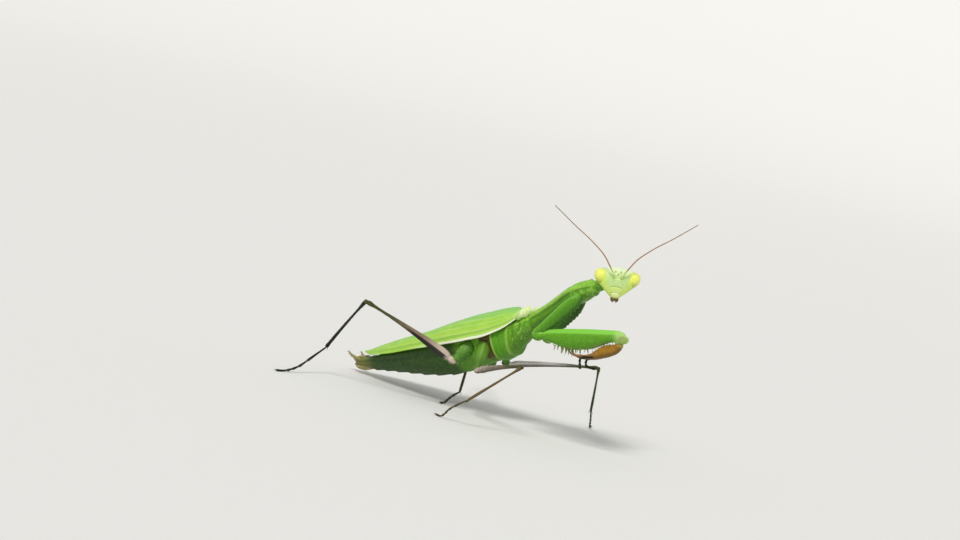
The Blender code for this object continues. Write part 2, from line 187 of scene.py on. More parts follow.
# %% [markdown]
# ## Rings into closed shells
# Almost everything on an insect is a tube: a profile carried along a path. It could be sculpted,
# or grown from a cube under a Subdivision Surface modifier, but numpy puts each ring exactly
# where a table of sizes says, and the same few functions serve every piece. A shell here is a
# grid of points, one row for each ring, and optional numbers for each point which a material
# can read later. Rings are bridged with quads and both ends are closed, so a shell can be cast
# or printed. A shell that came out mirrored has a negative volume and is turned round.

# %% Tubes, thorns and beads


def tube(path, side_half, up_half=None, down_half=None, count=16, up=UPWARD, relief=0.0,
         square=1.0):
    """Ring point = path + side * wide * cos(a) + up * tall * sin(a), the relief added to both."""
    path = np.asarray(path, float)
    along = unit(np.gradient(path, axis=0))
    side = unit(np.cross(np.asarray(up, float), along))
    top = np.cross(along, side)
    up_half = side_half if up_half is None else up_half
    down_half = up_half if down_half is None else down_half
    wide, above, below = (np.broadcast_to(half, len(path))[:, None] + relief
                          for half in (side_half, up_half, down_half))
    ca, sa = (signed_power(wave(round_angles(count)), square) for wave in (np.cos, np.sin))
    tall = np.where(sa > 0, above, below)
    return (path[:, None, :] + side[:, None, :] * (wide * ca)[..., None]
            + top[:, None, :] * (tall * sa)[..., None])


def spine(start, end, half, bend=STRAIGHT, count=6, rows=6):
    """Curved thorn: a round tube along a bowed line, whose half thickness shrinks to a point."""
    t = np.linspace(0.0, 1.0, rows)
    lean = (1, 0, 0) if abs(unit(end - start)[2]) > 0.9 else UPWARD
    return tube(bowed(start, end, t, bend), half * (1 - 0.93 * t ** 1.2), count=count, up=lean)


def bead(middle, sizes, axes=np.eye(3), columns=16):
    """Ellipsoid: rings of radius sin(b) at height cos(b), scaled by its three half sizes."""
    b = np.linspace(0.02, 0.98, 9)[:, None] * np.pi
    a = round_angles(columns)
    ball = np.stack([np.sin(b) * np.cos(a), np.sin(b) * np.sin(a), -np.cos(b) + 0 * a], axis=-1)
    return (ball * np.asarray(sizes)) @ np.asarray(axes).T + np.asarray(middle)


print("a thorn has", spine(np.zeros(3), np.ones(3), 0.1).shape[:2], "rings and columns")

# %% Faces of a shell


def shell_faces(rows, columns):
    """Quads between neighbouring rings, and a fan to a middle point at each end."""
    r, c = np.meshgrid(np.arange(rows - 1), np.arange(columns), indexing="ij")
    d = (c + 1) % columns
    quads = np.stack([r * columns + c, r * columns + d, (r + 1) * columns + d,
                      (r + 1) * columns + c], axis=-1).reshape(-1, 4)
    c, d = c[0], d[0]
    pole, last = np.full(columns, rows * columns), (rows - 1) * columns
    return quads, np.concatenate([np.stack([pole, d, c], axis=-1),
                                  np.stack([pole + 1, last + c, last + d], axis=-1)])


def volume(points, quads, fans):
    """Sum over triangles of the corners' triple product, over six."""
    tris = np.concatenate([quads[:, :3], quads[:, [0, 2, 3]], fans])
    a, b, c = (points[tris[:, k]] for k in range(3))
    return float((a * np.cross(b, c)).sum() / 6)


print("three rings of four points have", len(shell_faces(3, 4)[0]), "quads between them")

# %% Shells into one piece


def place_object(name, data):
    """New object for some data, linked to the scene."""
    thing = bpy.data.objects.new(name, data)
    bpy.context.scene.collection.objects.link(thing)
    return thing


triangles = {}


def make_piece(name, shells, finish, stands_for=()):
    """Joins closed shells, each a (grid, {mark: values}) pair, into one smooth object."""
    points, quads, fans, marks = [], [], [], {}
    first = 0
    names = sorted({key for _, values in shells for key in values})
    for grid, values in shells:
        both = np.concatenate([grid.reshape(-1, 3), grid[:1].mean(axis=1), grid[-1:].mean(axis=1)])
        q, f = shell_faces(*grid.shape[:2])
        if volume(both - both.mean(axis=0), q, f) < 0:
            q, f = q[:, ::-1], f[:, ::-1]
        quads.append(q + first)
        fans.append(f + first)
        points.append(both)
        for key in names:
            flat = np.broadcast_to(values.get(key, 0.0), grid.shape[:2]).astype(float)
            ends = [flat[0].mean(), flat[-1].mean()]
            marks.setdefault(key, []).append(np.concatenate([flat.ravel(), ends]))
        first += len(both)
    mesh = bpy.data.meshes.new(name)
    faces = np.concatenate(quads).tolist() + np.concatenate(fans).tolist()
    mesh.from_pydata(to_frame(np.concatenate(points)), [], faces)
    for key in names:
        layer = mesh.attributes.new(key, "FLOAT", "POINT")
        layer.data.foreach_set("value", np.concatenate(marks[key]).astype(np.float32))
    mesh.shade_smooth()
    mesh.materials.append(finish)
    piece = place_object(name, mesh)
    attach(piece, "root")
    if stands_for:
        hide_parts(*stands_for)
    triangles[name] = sum(len(face) - 2 for face in faces)
    print(f"{name}: {len(shells)} shells, {triangles[name]} triangles")


# %% [markdown]
# ## Shader maths as plain sums
# A finish is easier to read as a formula than as a web of nodes. The small class below wraps a
# node's socket so that `1 - mask * 0.3` adds the Math nodes by itself, and one method adds any
# other node. Colours go through Mix nodes only, because a Math node would turn them grey.

# %% A socket that can be calculated with


class Value:
    """A node socket with plus, minus and times, and two masks made from it."""

    def __init__(self, finish, socket):
        self.finish, self.socket = finish, socket

    def calc(self, operation, *others):
        """One Math node on this socket and the others."""
        return self.finish.node("ShaderNodeMath", {"operation": operation},
                                dict(enumerate((self, *others))))

    def __add__(self, other):
        return self.calc("ADD", other)

    def __sub__(self, other):
        return self.calc("SUBTRACT", other)

    def __rsub__(self, other):
        return (self * -1.0) + other

    def __mul__(self, other):
        return self.calc("MULTIPLY", other)

    __radd__, __rmul__ = __add__, __mul__

    def rise(self, low, high):
        """0 below low, 1 above high, smooth between; low may be the larger."""
        return self.finish.node("ShaderNodeMapRange", {"interpolation_type": "SMOOTHSTEP"}, {
            "Value": self, "From Min": low, "From Max": high})

    def band(self, low, high, soft):
        """1 between low and high, fading over soft at each end."""
        return self.rise(low - soft, low + soft) * (1.0 - self.rise(high - soft, high + soft))


def linear(paint):
    """A display colour 0 to 255 as the linear colour a shader uses; a socket stays as it is."""
    if isinstance(paint, Value):
        return paint
    c = np.array(paint) / 255.0
    return (*np.where(c <= 0.04045, c / 12.92, ((c + 0.055) / 1.055) ** 2.4).tolist(), 1.0)


print("middle grey is", round(linear((128, 128, 128))[0], 3), "in linear light")

# %% A finish
LIGHT_DEPTH = 0.5 * MM                  # how far light runs under the skin


class Finish:
    """A Principled material and short ways to add nodes to it."""

    def __init__(self, name, **constants):
        self.material = bpy.data.materials.new(name)
        self.material.use_nodes = True
        self.tree = self.material.node_tree
        self.shader = self.tree.nodes["Principled BSDF"]
        for key, value in {"Subsurface_Scale": LIGHT_DEPTH, **constants}.items():
            self.shader.inputs[key.replace("_", " ")].default_value = value

    def node(self, kind, settings=None, sockets=None, output=0):
        """Adds a node: its settings first, then socket values or links; returns an output."""
        node = self.tree.nodes.new(kind)
        for key, value in (settings or {}).items():
            setattr(node, key, value)
        for key, value in (sockets or {}).items():
            if isinstance(value, Value):
                self.tree.links.new(value.socket, node.inputs[key])
            else:
                node.inputs[key].default_value = value
        return Value(self, node.outputs[output])

    def mark(self, name):
        """A number stored on the piece's points."""
        return self.node("ShaderNodeAttribute", {"attribute_name": name}, output=2)

    def place(self, stretch):
        """Object coordinates in millimetres, times a stretch along each axis."""
        coord = self.node("ShaderNodeTexCoord", output=3)
        return self.node("ShaderNodeVectorMath", {"operation": "MULTIPLY"},
                         {0: coord, 1: [times / MM for times in stretch]})

    def noise(self, scale, detail=2.0, rough=0.5, stretch=(1, 1, 1)):
        """Noise from 0 to 1 with a scale in grains for each millimetre."""
        return self.node("ShaderNodeTexNoise", sockets={
            "Vector": self.place(stretch), "Scale": scale, "Detail": detail, "Roughness": rough})

    def cells(self, scale, stretch=(1, 1, 1), feature="F1"):
        """Voronoi cells with a scale in cells for each millimetre."""
        return self.node("ShaderNodeTexVoronoi", {"feature": feature}, {
            "Vector": self.place(stretch), "Scale": scale})

    def mix(self, factor, first, second):
        """First colour where the factor is 0, second where it is 1."""
        return self.node("ShaderNodeMix", {"data_type": "RGBA"}, {
            0: factor, 6: linear(first), 7: linear(second)}, 2)

    def patches(self, grain, first, second, low=0.3, high=0.7):
        """Two colours in soft patches: the second where the grain is high."""
        return self.mix(grain.rise(low, high), first, second)

    def layers(self, colour, *coats):
        """Colour with coats laid over it in turn, each a mask and the paint it lets through."""
        for mask, paint in coats:
            colour = self.mix(mask, colour, paint)
        return colour

    def wear(self, colour, roughness=None, height=None, depth=0.05):
        """Links a colour, a roughness and a height in units of depth millimetres."""
        links = {"Base Color": colour, "Roughness": roughness}
        if height is not None:
            links["Normal"] = self.node("ShaderNodeBump", sockets={
                "Height": height, "Distance": depth * MM})
        for key, value in links.items():
            if value is not None:
                self.tree.links.new(value.socket, self.shader.inputs[key])
        print(f"finish {self.material.name}: {len(self.tree.nodes)} nodes")
        return self.material


print("light runs", LIGHT_DEPTH / MM, "mm under the skin")

# %% [markdown]
# ## The trunk: one skin from tail to neck
# Neck, pronotum, wing-bearing thorax and abdomen are joined by soft skin in the living animal,
# so one tube replaces all four solids and no seam shows. Four meshes joined by a Boolean
# modifier would leave hard edges where the skin should flow. Rings are carried along the body
# line. Everything that marks an insect's trunk is relief on that tube: the sharp rim and keel of
# the pronotum, the groove above the fore legs, the seams between side plates and the abdomen's
# overlapping rings with their soft side fold.

# %% Trunk sizes
BODY_LINE = ((-24.0, 0, 1.75), (-20.0, 0, 2.95), (-16.0, 0, 4.4), (-12.0, 0, 5.8), (-8.0, 0, 7.2),
             (-4.0, 0, 8.6), (0.0, 0, 10.3), (4.5, 0, 12.9), (9.0, 0, 15.3), (11.6, 0, 17.3),
             (22.0, 0, 25.4), (23.4, 0.25, 26.2), (25.3, 1.0, 26.9), (26.1, 0.7, 27.1))
# place along x, half width, height above the line, depth below it
TRUNK = ((-23.9, 0.5, 0.3, 0.4), (-23.4, 0.8, 0.5, 0.65), (-22.2, 1.1, 0.6, 1.0),
         (-19.5, 1.6, 0.7, 1.55), (-16.0, 2.3, 1.1, 2.15), (-12.0, 2.9, 1.7, 2.8),
         (-8.0, 3.3, 2.15, 3.4), (-4.0, 3.2, 2.4, 3.7), (-0.2, 2.85, 2.55, 3.75),
         (2.4, 2.95, 2.45, 3.7), (4.8, 2.95, 2.2, 3.75), (6.6, 2.8, 2.0, 3.9),
         (7.7, 2.6, 1.9, 3.55), (9.2, 2.25, 1.8, 2.6), (10.9, 1.9, 1.6, 1.85),
         (11.8, 1.6, 1.3, 1.4), (12.8, 1.7, 1.3, 1.3), (14.6, 1.5, 1.3, 1.15),
         (16.6, 1.6, 1.4, 1.2), (18.4, 2.1, 1.5, 1.35), (19.6, 2.35, 1.6, 1.5),
         (20.9, 2.1, 1.4, 1.4), (22.0, 1.55, 1.1, 1.2), (22.6, 1.05, 0.9, 0.95),
         (23.6, 0.9, 0.85, 0.85), (25.0, 0.85, 0.85, 0.85), (26.1, 0.6, 0.6, 0.6))
PRONOTUM_REAR, PRONOTUM_FRONT, PRONOTUM_GROOVE, TOOTH_STEP = 12.25, 22.15, 19.35, 0.5
ABDOMEN_RINGS = (-0.9, -3.8, -6.7, -9.6, -12.4, -15.1, -17.6, -19.8, -21.9)
# seams between the side plates: place, lean forward with height, depth
SIDE_SEAMS = ((0.3, 0.5, 0.2), (2.6, 0.7, 0.13), (4.0, 0.4, 0.17), (10.4, 0.6, 0.16))
# the big side plate under the wing: its two edges, and how far each leans forward with height
PLATE_REAR_EDGE, REAR_LEAN, PLATE_FORE_EDGE, FORE_LEAN = 5.95, 0.3, 9.0, 1.0
TAIL_END, NECK_END, TRUNK_COLUMNS = TRUNK[0][0], TRUNK[-1][0], 96
print("the trunk is", NECK_END - TAIL_END, "mm long")

# %% Relief of the trunk


def pronotum_relief(x, high, out):
    """Outward millimetres at place x: rim, toothed edge, keel, cross groove and end hems."""
    shield = window(x, PRONOTUM_REAR - 0.1, PRONOTUM_REAR + 0.15,
                    PRONOTUM_FRONT - 0.1, PRONOTUM_FRONT + 0.1)
    rim = 0.26 * window(high - 0.1, -0.06, 0.0, 0.06, 0.5)
    teeth = 0.07 * np.maximum(0, np.sin(2 * np.pi * x / TOOTH_STEP)) * hump(high, 0.08, 0.06)
    keel = 0.13 * hump(out, 0, 0.13) * (high > 0)
    groove = 0.2 * hump(x, PRONOTUM_GROOVE + 0.5 * out ** 2, 0.24) * (high > 0.05)
    under_rim = 0.12 * hump(high, -0.12, 0.14)
    hems = 0.12 * hump(x, PRONOTUM_REAR + 0.25, 0.2) + 0.14 * hump(x, PRONOTUM_FRONT - 0.25, 0.22)
    crease = 0.16 * hump(x, PRONOTUM_REAR - 0.4, 0.22)
    return shield * (rim + teeth + keel - groove - under_rim) + hems - crease


def thorax_relief(x, high):
    """Outward millimetres: seams that lean forward, the raised side plate and its pale rims."""
    side, chest = hump(high, -0.25, 0.65), window(x, 0.4, 1.4, 10.4, 11.4)
    flank = window(high, -0.99, -0.93, 0.25, 0.45)
    seams = sum(depth * hump(x, at + lean * high, 0.16) for at, lean, depth in SIDE_SEAMS)
    hollow = 0.22 * window(x, 3.9, 4.2, 5.4, 5.7) * window(high, -0.98, -0.8, 0.1, 0.3)
    rear, fore = PLATE_REAR_EDGE + REAR_LEAN * high, PLATE_FORE_EDGE + FORE_LEAN * high
    raised = 0.26 * window(x, rear - 0.2, rear, fore - 0.1, fore + 0.1)
    rims = 0.14 * hump(x, rear + 0.15, 0.14) + 0.16 * hump(x, fore - 0.25, 0.2)
    creases = 0.16 * hump(x, fore + 0.3, 0.16) + 0.1 * hump(x, rear + 1.2, 0.14)
    shoulder = 0.1 * fade(9.0, 9.4, x) * side
    belly_seams = 0.15 * hump(high, -0.93, 0.05)
    return (flank * (raised + rims - creases) + chest * (shoulder - belly_seams)
            - side * seams - hollow)


def abdomen_relief(x, high, out):
    """Outward millimetres: each ring rises to lap over the next, and a soft fold runs along."""
    relief = 0.0
    for front, rear in zip(ABDOMEN_RINGS, ABDOMEN_RINGS[1:]):
        t = np.clip((front - x) / (front - rear), 0, 1)
        inside = (x <= front) & (x > rear)
        relief = relief + np.where(inside, 0.2 * t ** 1.4 - 0.07, 0) * (0.75 + 0.25 * np.abs(high))
    keel, fold = 0.07 * hump(out, 0, 0.12) * (high < 0), 0.2 * hump(high, -0.22, 0.1)
    return relief + fade(0.2, -1.2, x) * (keel - fold)


def neck_relief(x, high):
    """Fine folds round the neck, deepest underneath."""
    return fade(22.3, 22.8, x) * 0.07 * np.sin((x - 22.4) * 2 * np.pi / 0.55) * (0.6 - 0.4 * high)


# %% Trunk skin
# rings stand less than a tenth of a millimetre apart, and closest from the pronotum on
stations = np.concatenate([np.linspace(TAIL_END, 12.0, 470), np.linspace(12.05, NECK_END, 260)])
x, a = stations[:, None], round_angles(TRUNK_COLUMNS)
high, out = np.sin(a), np.cos(a)
line = np.column_stack([stations, curve(BODY_LINE, stations, 1), curve(BODY_LINE, stations, 2)])
trunk_relief = (pronotum_relief(x, high, out) + thorax_relief(x, high)
                + abdomen_relief(x, high, out) + neck_relief(x, high))
trunk_shell = (tube(line, *halves(TRUNK, stations), count=TRUNK_COLUMNS, relief=trunk_relief),
               {"station": x, "high": high, "out": out})
print("trunk rings:", len(stations), "relief in mm:", trunk_relief.min().round(2), "to",
      trunk_relief.max().round(2))

# %% [markdown]
# Between the wing roots the thorax carries a raised plate, which closes the gap in front of and
# under the wing covers. It could be more relief on the trunk, but it stands so high that the
# rings would be stretched there. So it is a flat dome of its own along the top of the trunk,
# with one seam across it and one along it, in the same piece as the trunk skin.

# %% Back plate
PLATE_REAR, PLATE_FRONT, PLATE_SEAM, PLATE_COLUMNS = 5.6, 12.0, 9.9, 48
PLATE_TOP = ((5.6, 17.1), (7.0, 17.85), (9.0, 18.42), (10.3, 18.6), (11.2, 18.62), (12.0, 18.5))
PLATE_HALF = ((5.6, 1.7), (9.0, 1.85), (10.6, 1.5), (12.0, 1.0))
x, a = np.linspace(PLATE_REAR, PLATE_FRONT, 64), round_angles(PLATE_COLUMNS)
close = domed(np.minimum(x - PLATE_REAR, PLATE_FRONT - x), 1.6, 0.02)
plate_relief = (-0.09 * hump(x[:, None], PLATE_SEAM, 0.14)
                - 0.06 * hump(np.cos(a), 0, 0.07) * (np.sin(a) > 0))
plate_shell = (tube(np.column_stack([x, x * 0, curve(PLATE_TOP, x) - 0.9]),
                    curve(PLATE_HALF, x) * close, 0.9 * close, 1.4 * close,
                    count=PLATE_COLUMNS, relief=plate_relief),
               {"station": x[:, None], "high": 0.5, "out": np.cos(a)})
print("back plate reaches", round(float(plate_shell[0][..., 2].max()), 2), "mm above the floor")

# %% [markdown]
# ### Greens of the trunk
# The real skin is a clear leaf green that is never even, with a dark brown patch in the hollow
# between the two walking legs. Light and shade are painted on it as well: yellow where light
# comes through the rims, a lighter top, painted shade underneath and in the seam under the
# pronotum rim, and a dark, bluish abdomen that stands for the shade it lies in under the wings.
# It could be painted on an unwrapped map. Masks on the stored station and height numbers are
# used instead, because the same numbers shaped the relief, so colour and relief always meet.
# Fine grain in two sizes breaks all of the colours up.

# %% Trunk masks
green = Finish("trunk_green", Roughness=0.45, Subsurface_Weight=0.1,
               Subsurface_Radius=(0.6, 1.0, 0.2), Specular_IOR_Level=0.32)
station, high, out = green.mark("station"), green.mark("high"), green.mark("out")
grain, fine = green.noise(2.2, 4.0, 0.6), green.noise(9.0, 3.0, 0.6)
speck = green.noise(5.5, 3.0, 0.65).rise(0.56, 0.66)
midline = out.calc("ABSOLUTE").rise(0.2, 0.0) * high.rise(0.0, 0.3)
rim = station.band(12.2, 22.2, 0.15) * high.band(0.05, 0.13, 0.04)
under_rim = station.band(12.4, 22.0, 0.2) * high.band(-0.3, -0.02, 0.08)
dapple = green.noise(1.7, 3.0, 0.6, (1.4, 1.0, 1.0)).rise(0.47, 0.6)
shoulder = station.band(19.0, 23.6, 0.9) * high.rise(0.12, -0.05)
brown_patch = station.band(3.7, 5.75, 0.2) * high.band(-0.93, 0.15, 0.1)
past_rear = station - (high * REAR_LEAN + PLATE_REAR_EDGE)
past_fore = station - (high * FORE_LEAN + PLATE_FORE_EDGE)
flank = high.band(-0.95, 0.3, 0.12)
pale_line = past_rear.band(0.0, 0.28, 0.1).calc("MAXIMUM", past_fore.band(-0.5, -0.1, 0.1) * 0.75)
front_plate = past_fore.rise(0.1, 0.4) * station.rise(11.6, 11.2) * flank
streak = green.noise(1.8, 3.0, 0.6, (1.6, 1.0, 0.5)).rise(0.54, 0.62) * front_plate
granule = green.cells(5.5).rise(0.45, 0.1)
print("masks of the trunk:", len(green.tree.nodes), "nodes")

# %% Trunk finish
# lighter greens for the top of the trunk, laid on below as painted light, with a darker line along
# the middle
back = green.layers(green.patches(grain, (128, 188, 50), (158, 214, 76), 0.35, 0.65),
                    (midline * 0.5, (104, 166, 40)))
# painted shade for the abdomen under the wings: dark greens, lighter towards the top as painted
# light
abdomen_shade = green.layers(green.patches(grain, (32, 62, 10), (50, 88, 16), 0.35, 0.65),
                    (high.rise(-0.1, 0.5) * 0.5, (92, 138, 44)))
leaf = green.layers(
    green.patches(grain, (88, 148, 20), (110, 172, 34)),
    # painted light: the top of the trunk lighter
    (high.rise(0.1, 0.16) * 0.8, back),
    # painted shade: darker underneath
    (high.rise(-0.35, -0.9) * 0.55, (60, 104, 20)),
    (speck * station.rise(11.4, 13.0) * high.rise(0.1, -0.1) * 0.25, (40, 84, 16)),
    # the abdomen in its painted shade
    (station.rise(-0.2, -2.2), abdomen_shade),
    (station.rise(-18.5, -22.5) * 0.75, (128, 124, 62)),
    # painted light: yellow where light comes through the pronotum rim
    (rim * 0.6, (176, 212, 96)),
    # painted shade in the seam under the pronotum rim, broken up by specks
    (under_rim * (0.2 + 0.5 * speck), (38, 74, 18)),
    (dapple * shoulder * 0.55, (150, 200, 84)),
    (brown_patch * 0.92, green.mix(fine, (70, 50, 16), (108, 80, 34))),
    (station.rise(25.0, 25.6) * 0.5, (170, 206, 118)),
    (past_rear.band(0.3, 2.4, 0.3) * flank * 0.6, (78, 150, 12)),
    (pale_line * flank * 0.6, (168, 202, 96)),
    (front_plate * grain.rise(0.6, 0.4) * 0.4, (66, 118, 24)),
    (streak * 0.55, (176, 214, 112)),
    (speck * station.band(9.4, 12.0, 0.5) * 0.4, (150, 186, 82)))
make_piece("trunk_skin", [trunk_shell, plate_shell],
           green.wear(leaf, 0.38 + grain * 0.2, grain * 0.6 + fine * 0.5 + granule * 0.35),
           ("neck", "prothorax", "pterothorax", "abdomen"))

# %% [markdown]
# ## The head
# A mantis head is a flat triangle: an eye at each upper corner, the mouth at the lower one. A
# ball pulled to three corners would do from far away, but a face needs its plates in exact
# places. So the capsule is a stack of flattened rings from the mouth edge to the crown. On its
# face the relief draws what every mantis has: grooves over the crown, sockets for the feelers,
# the raised shield between them, and the two plates of the upper lip below.

# %% Relief of the face
# height, half width, depth in front, depth behind
HEAD_SIZES = ((-2.3, 0.36, 0.34, 0.32), (-2.12, 0.62, 0.52, 0.5), (-1.75, 1.02, 0.8, 0.8),
              (-1.3, 1.55, 1.02, 1.1), (-0.8, 2.08, 1.22, 1.35), (-0.2, 2.68, 1.36, 1.5),
              (0.3, 3.02, 1.45, 1.58), (0.9, 3.05, 1.46, 1.55), (1.5, 2.95, 1.36, 1.4),
              (1.95, 2.7, 1.12, 1.15), (2.25, 2.15, 0.82, 0.82), (2.45, 1.5, 0.52, 0.52),
              (2.58, 0.8, 0.24, 0.24), (2.62, 0.4, 0.12, 0.12))
FEELER_SOCKET = (0.6, 0.95)             # left and up on the face
UPPER_SEAM, LOWER_SEAM, SEAM_SAG = -0.45, -1.33, 0.14


def head_relief(y, z, front):
    """Outward millimetres on the head: y is left, z is up, front is 1 on the face, 0 behind."""
    wide, sag = np.abs(y), z + SEAM_SAG * y ** 2
    crown = -fade(0.7, 1.5, z) * 0.09 * (hump(wide, 0.5, 0.09) + hump(wide, 1.35, 0.1))
    shield_edge = 1.0 - 0.35 * np.clip(z - 0.15, 0, 1)
    shield = (fade(shield_edge + 0.1, shield_edge - 0.08, wide) * fade(-0.44, -0.26, sag)
              * fade(0.86, 0.66, z + 0.3 * y ** 2))
    lip_edge = 0.86 + 0.2 * (z + 1.2)
    upper_plate = (fade(lip_edge + 0.08, lip_edge - 0.08, wide) * fade(-1.34, -1.16, sag)
                   * fade(-0.46, -0.6, sag))
    lower_plate = fade(0.7, 0.54, wide) * fade(-2.35, -2.2, z) * fade(-1.34, -1.5, sag)
    upper_seam = hump(sag, UPPER_SEAM, 0.06) * fade(1.1, 0.9, wide)
    lower_seam = hump(sag, LOWER_SEAM, 0.06) * fade(0.95, 0.75, wide)
    face = (0.1 * shield + 0.08 * upper_plate + 0.09 * lower_plate
            - 0.05 * (upper_seam + lower_seam))
    for left in (-1, 1):
        away = np.hypot(y - FEELER_SOCKET[0] * left, z - FEELER_SOCKET[1])
        socket = 0.13 * hump(away, 0.36, 0.09) - 0.12 * hump(away, 0.0, 0.24)
        cheek = hump(y * left - (1.15 + 0.75 * (z + 1.0)), 0, 0.1) * window(z, -1.7, -1.3, 0.0, 0.4)
        face = face + socket - 0.06 * cheek
    return crown + front * face


# %% Head capsule
MOUTH_EDGE, CROWN_FROM, CROWN_TO = -2.3, 2.3, 2.62
crown_rings = CROWN_FROM + (CROWN_TO - CROWN_FROM) * np.sin(np.linspace(0.1, np.pi / 2, 16))
heights = np.concatenate([np.linspace(MOUTH_EDGE, CROWN_FROM, 110), crown_rings])
a = round_angles(128)
half_wide, before, behind = (size[:, None] for size in halves(HEAD_SIZES, heights))
face_y = half_wide * np.cos(a)
face_z = np.broadcast_to(heights[:, None], face_y.shape)
on_face = fade(0.05, 0.45, np.sin(a)) * np.ones_like(face_y)
swell = head_relief(face_y, face_z, on_face)
face_x = np.where(np.sin(a) > 0, before, behind) * signed_power(np.sin(a), 0.8)
head_shell = (head_to_body(np.stack([face_x + swell * np.sin(a),
                                     face_y + swell * np.cos(a) * 0.5, face_z], axis=-1)),
              {"across": np.abs(face_y), "height": face_z, "face": on_face})
print("head capsule is", round(float(np.ptp(face_y)), 2), "mm wide without the eyes")

# %% [markdown]
# ### Mint and yellow
# The face is a pale greyish mint that is yellow-green on the cheeks and the mouth plates, and a
# painted highlight turns it white along the crown. The brown of the mouth only starts on the
# last half millimetre.
# Vertex paint could give these zones, but a mask on the height or on the distance from the
# middle is easily moved by a tenth of a millimetre.

# %% Head finish
mint = Finish("head_mint_skin", Roughness=0.38, Subsurface_Weight=0.12,
              Subsurface_Radius=(0.8, 1.0, 0.4), Coat_Weight=0.15, Coat_Roughness=0.25)
across, height, face = mint.mark("across"), mint.mark("height"), mint.mark("face")
grain, fine = mint.noise(3.0, 4.0, 0.6), mint.noise(14.0, 3.0, 0.6)
beside_eyes = across.rise(1.5, 2.3) * height.rise(-0.6, 0.3) * height.rise(2.3, 1.8)
sag = height + across * across * SEAM_SAG
upper_seam = sag.band(UPPER_SEAM - 0.03, UPPER_SEAM + 0.03, 0.04) * across.rise(1.1, 0.9)
lower_seam = sag.band(LOWER_SEAM - 0.03, LOWER_SEAM + 0.03, 0.04) * across.rise(0.9, 0.75)
lip = height.rise(-1.0, -1.4) * height.rise(-2.1, -1.8) * across.rise(0.75, 0.3)
skin = mint.layers(
    mint.patches(grain, (190, 220, 134), (202, 230, 154)),
    # painted highlight: white along the crown, where light falls from above
    (height.rise(1.4, 2.3) * 0.8, (236, 248, 214)),
    ((across - height * 0.45).rise(1.0, 1.9) * 0.75, (198, 228, 92)),
    (height.rise(0.0, -1.1) * 0.7, (216, 236, 112)),
    (beside_eyes * 0.7, (226, 242, 104)),
    (upper_seam.calc("MAXIMUM", lower_seam) * 0.5, (150, 164, 70)),
    (lip * 0.6, (240, 244, 190)),
    (height.rise(-1.9, -2.25) * 0.8, (150, 128, 50)),
    ((1.0 - face) * 0.6, (150, 190, 84)),
    (fine.rise(0.55, 0.7) * 0.16, (120, 160, 70)))
make_piece("head_capsule", [head_shell],
           mint.wear(skin, 0.3 + grain * 0.2, grain * 0.5 + fine * 0.4, 0.025),
           ("head",))

# %% [markdown]
# Three simple eyes, glassy beads, stand in a triangle on the crown. They could be three UV
# spheres; the bead helper is used because it also turns with the head. A clear coat makes them
# shine.

# %% Simple eyes
CROWN_BEADS = ((1.42, 0.0, 1.5), (1.2, 0.42, 1.85), (1.2, -0.42, 1.85))
BEAD_HALF = (0.13, 0.15, 0.16)
glass = Finish("simple_eye", Roughness=0.12, Coat_Weight=0.6, Coat_Roughness=0.05)
amber = glass.mix(glass.noise(6.0), (184, 180, 84), (214, 208, 120))
make_piece("simple_eyes", [(head_to_body(bead(at, BEAD_HALF)), {}) for at in CROWN_BEADS],
           glass.wear(amber))

# %% [markdown]
# ### Compound eyes
# Each eye is an egg of about ten thousand lenses, set on the corner of the head and leaning
# outward. The lenses are far too small to model one by one, so they are a cell pattern in the
# bump. Painted shade makes the yellow deeper and darker low down, a painted highlight makes it
# paler on top, and pale bands run round the egg as they do in life.

# %% Eyes
EYE_HALF = (1.35, 1.1, 1.25)


def eye_shell(left):
    """Ellipsoid whose rings shrink towards the lower end and lean outward at the top."""
    b = np.linspace(0.015, 0.985, 56)[:, None] * np.pi
    a = round_angles(72)
    up = -np.cos(b) + 0 * a
    full = np.sin(b) ** 0.88 * (1 + 0.16 * up - 0.06 * up ** 2)
    front = full * signed_power(np.cos(a), 0.92)
    below = np.minimum(up, 0)
    out = full * np.sin(a) + 0.06 * up - 0.36 * below ** 2
    place = EYE_AT + np.stack([front, out, up + 0.1 * below], axis=-1) * EYE_HALF
    return head_to_body(place * (1, left, 1)), {"up": up, "front": front, "out": out}


lens = Finish("eye_lenses", Roughness=0.2, Coat_Weight=0.25, Coat_Roughness=0.12, IOR=1.5,
              Subsurface_Weight=0.15, Subsurface_Scale=0.6 * MM, Subsurface_Radius=(1.0, 0.9, 0.2))
up, front, out = lens.mark("up"), lens.mark("front"), lens.mark("out")
wave = (out * 7.0 + lens.noise(1.1, 2.0) * 2.5).calc("SINE")
yellow = lens.layers(
    lens.mix(wave.rise(-0.4, 0.8) * 0.2, (244, 252, 112), (222, 238, 88)),
    # painted shade: darker low down
    (up.rise(0.0, -0.9) * 0.8, (160, 190, 46)),
    (front.rise(0.0, -0.8) * 0.5, (150, 182, 70)),
    # painted highlight: paler on top
    (up.rise(0.55, 0.95) * 0.4, (236, 244, 160)))
facets = lens.cells(26.0, feature="DISTANCE_TO_EDGE").rise(0.0, 0.2)
eye_finish = lens.wear(yellow, 0.22 + lens.noise(4.0) * 0.12, facets, 0.008)
for side_name, left in SIDES:
    make_piece("compound_eye_" + side_name, [eye_shell(left)], eye_finish,
               ("eye_" + side_name,))

# %% [markdown]
# ### Mouthparts
# Under the upper lip hang the tips of two jaws and two pairs of jointed palps, the larger pair
# curling outward. Curve objects with a round bevel could make them, but a palp swells at every
# joint, and a formula for its thickness does that in one line. So they are short bent tubes.

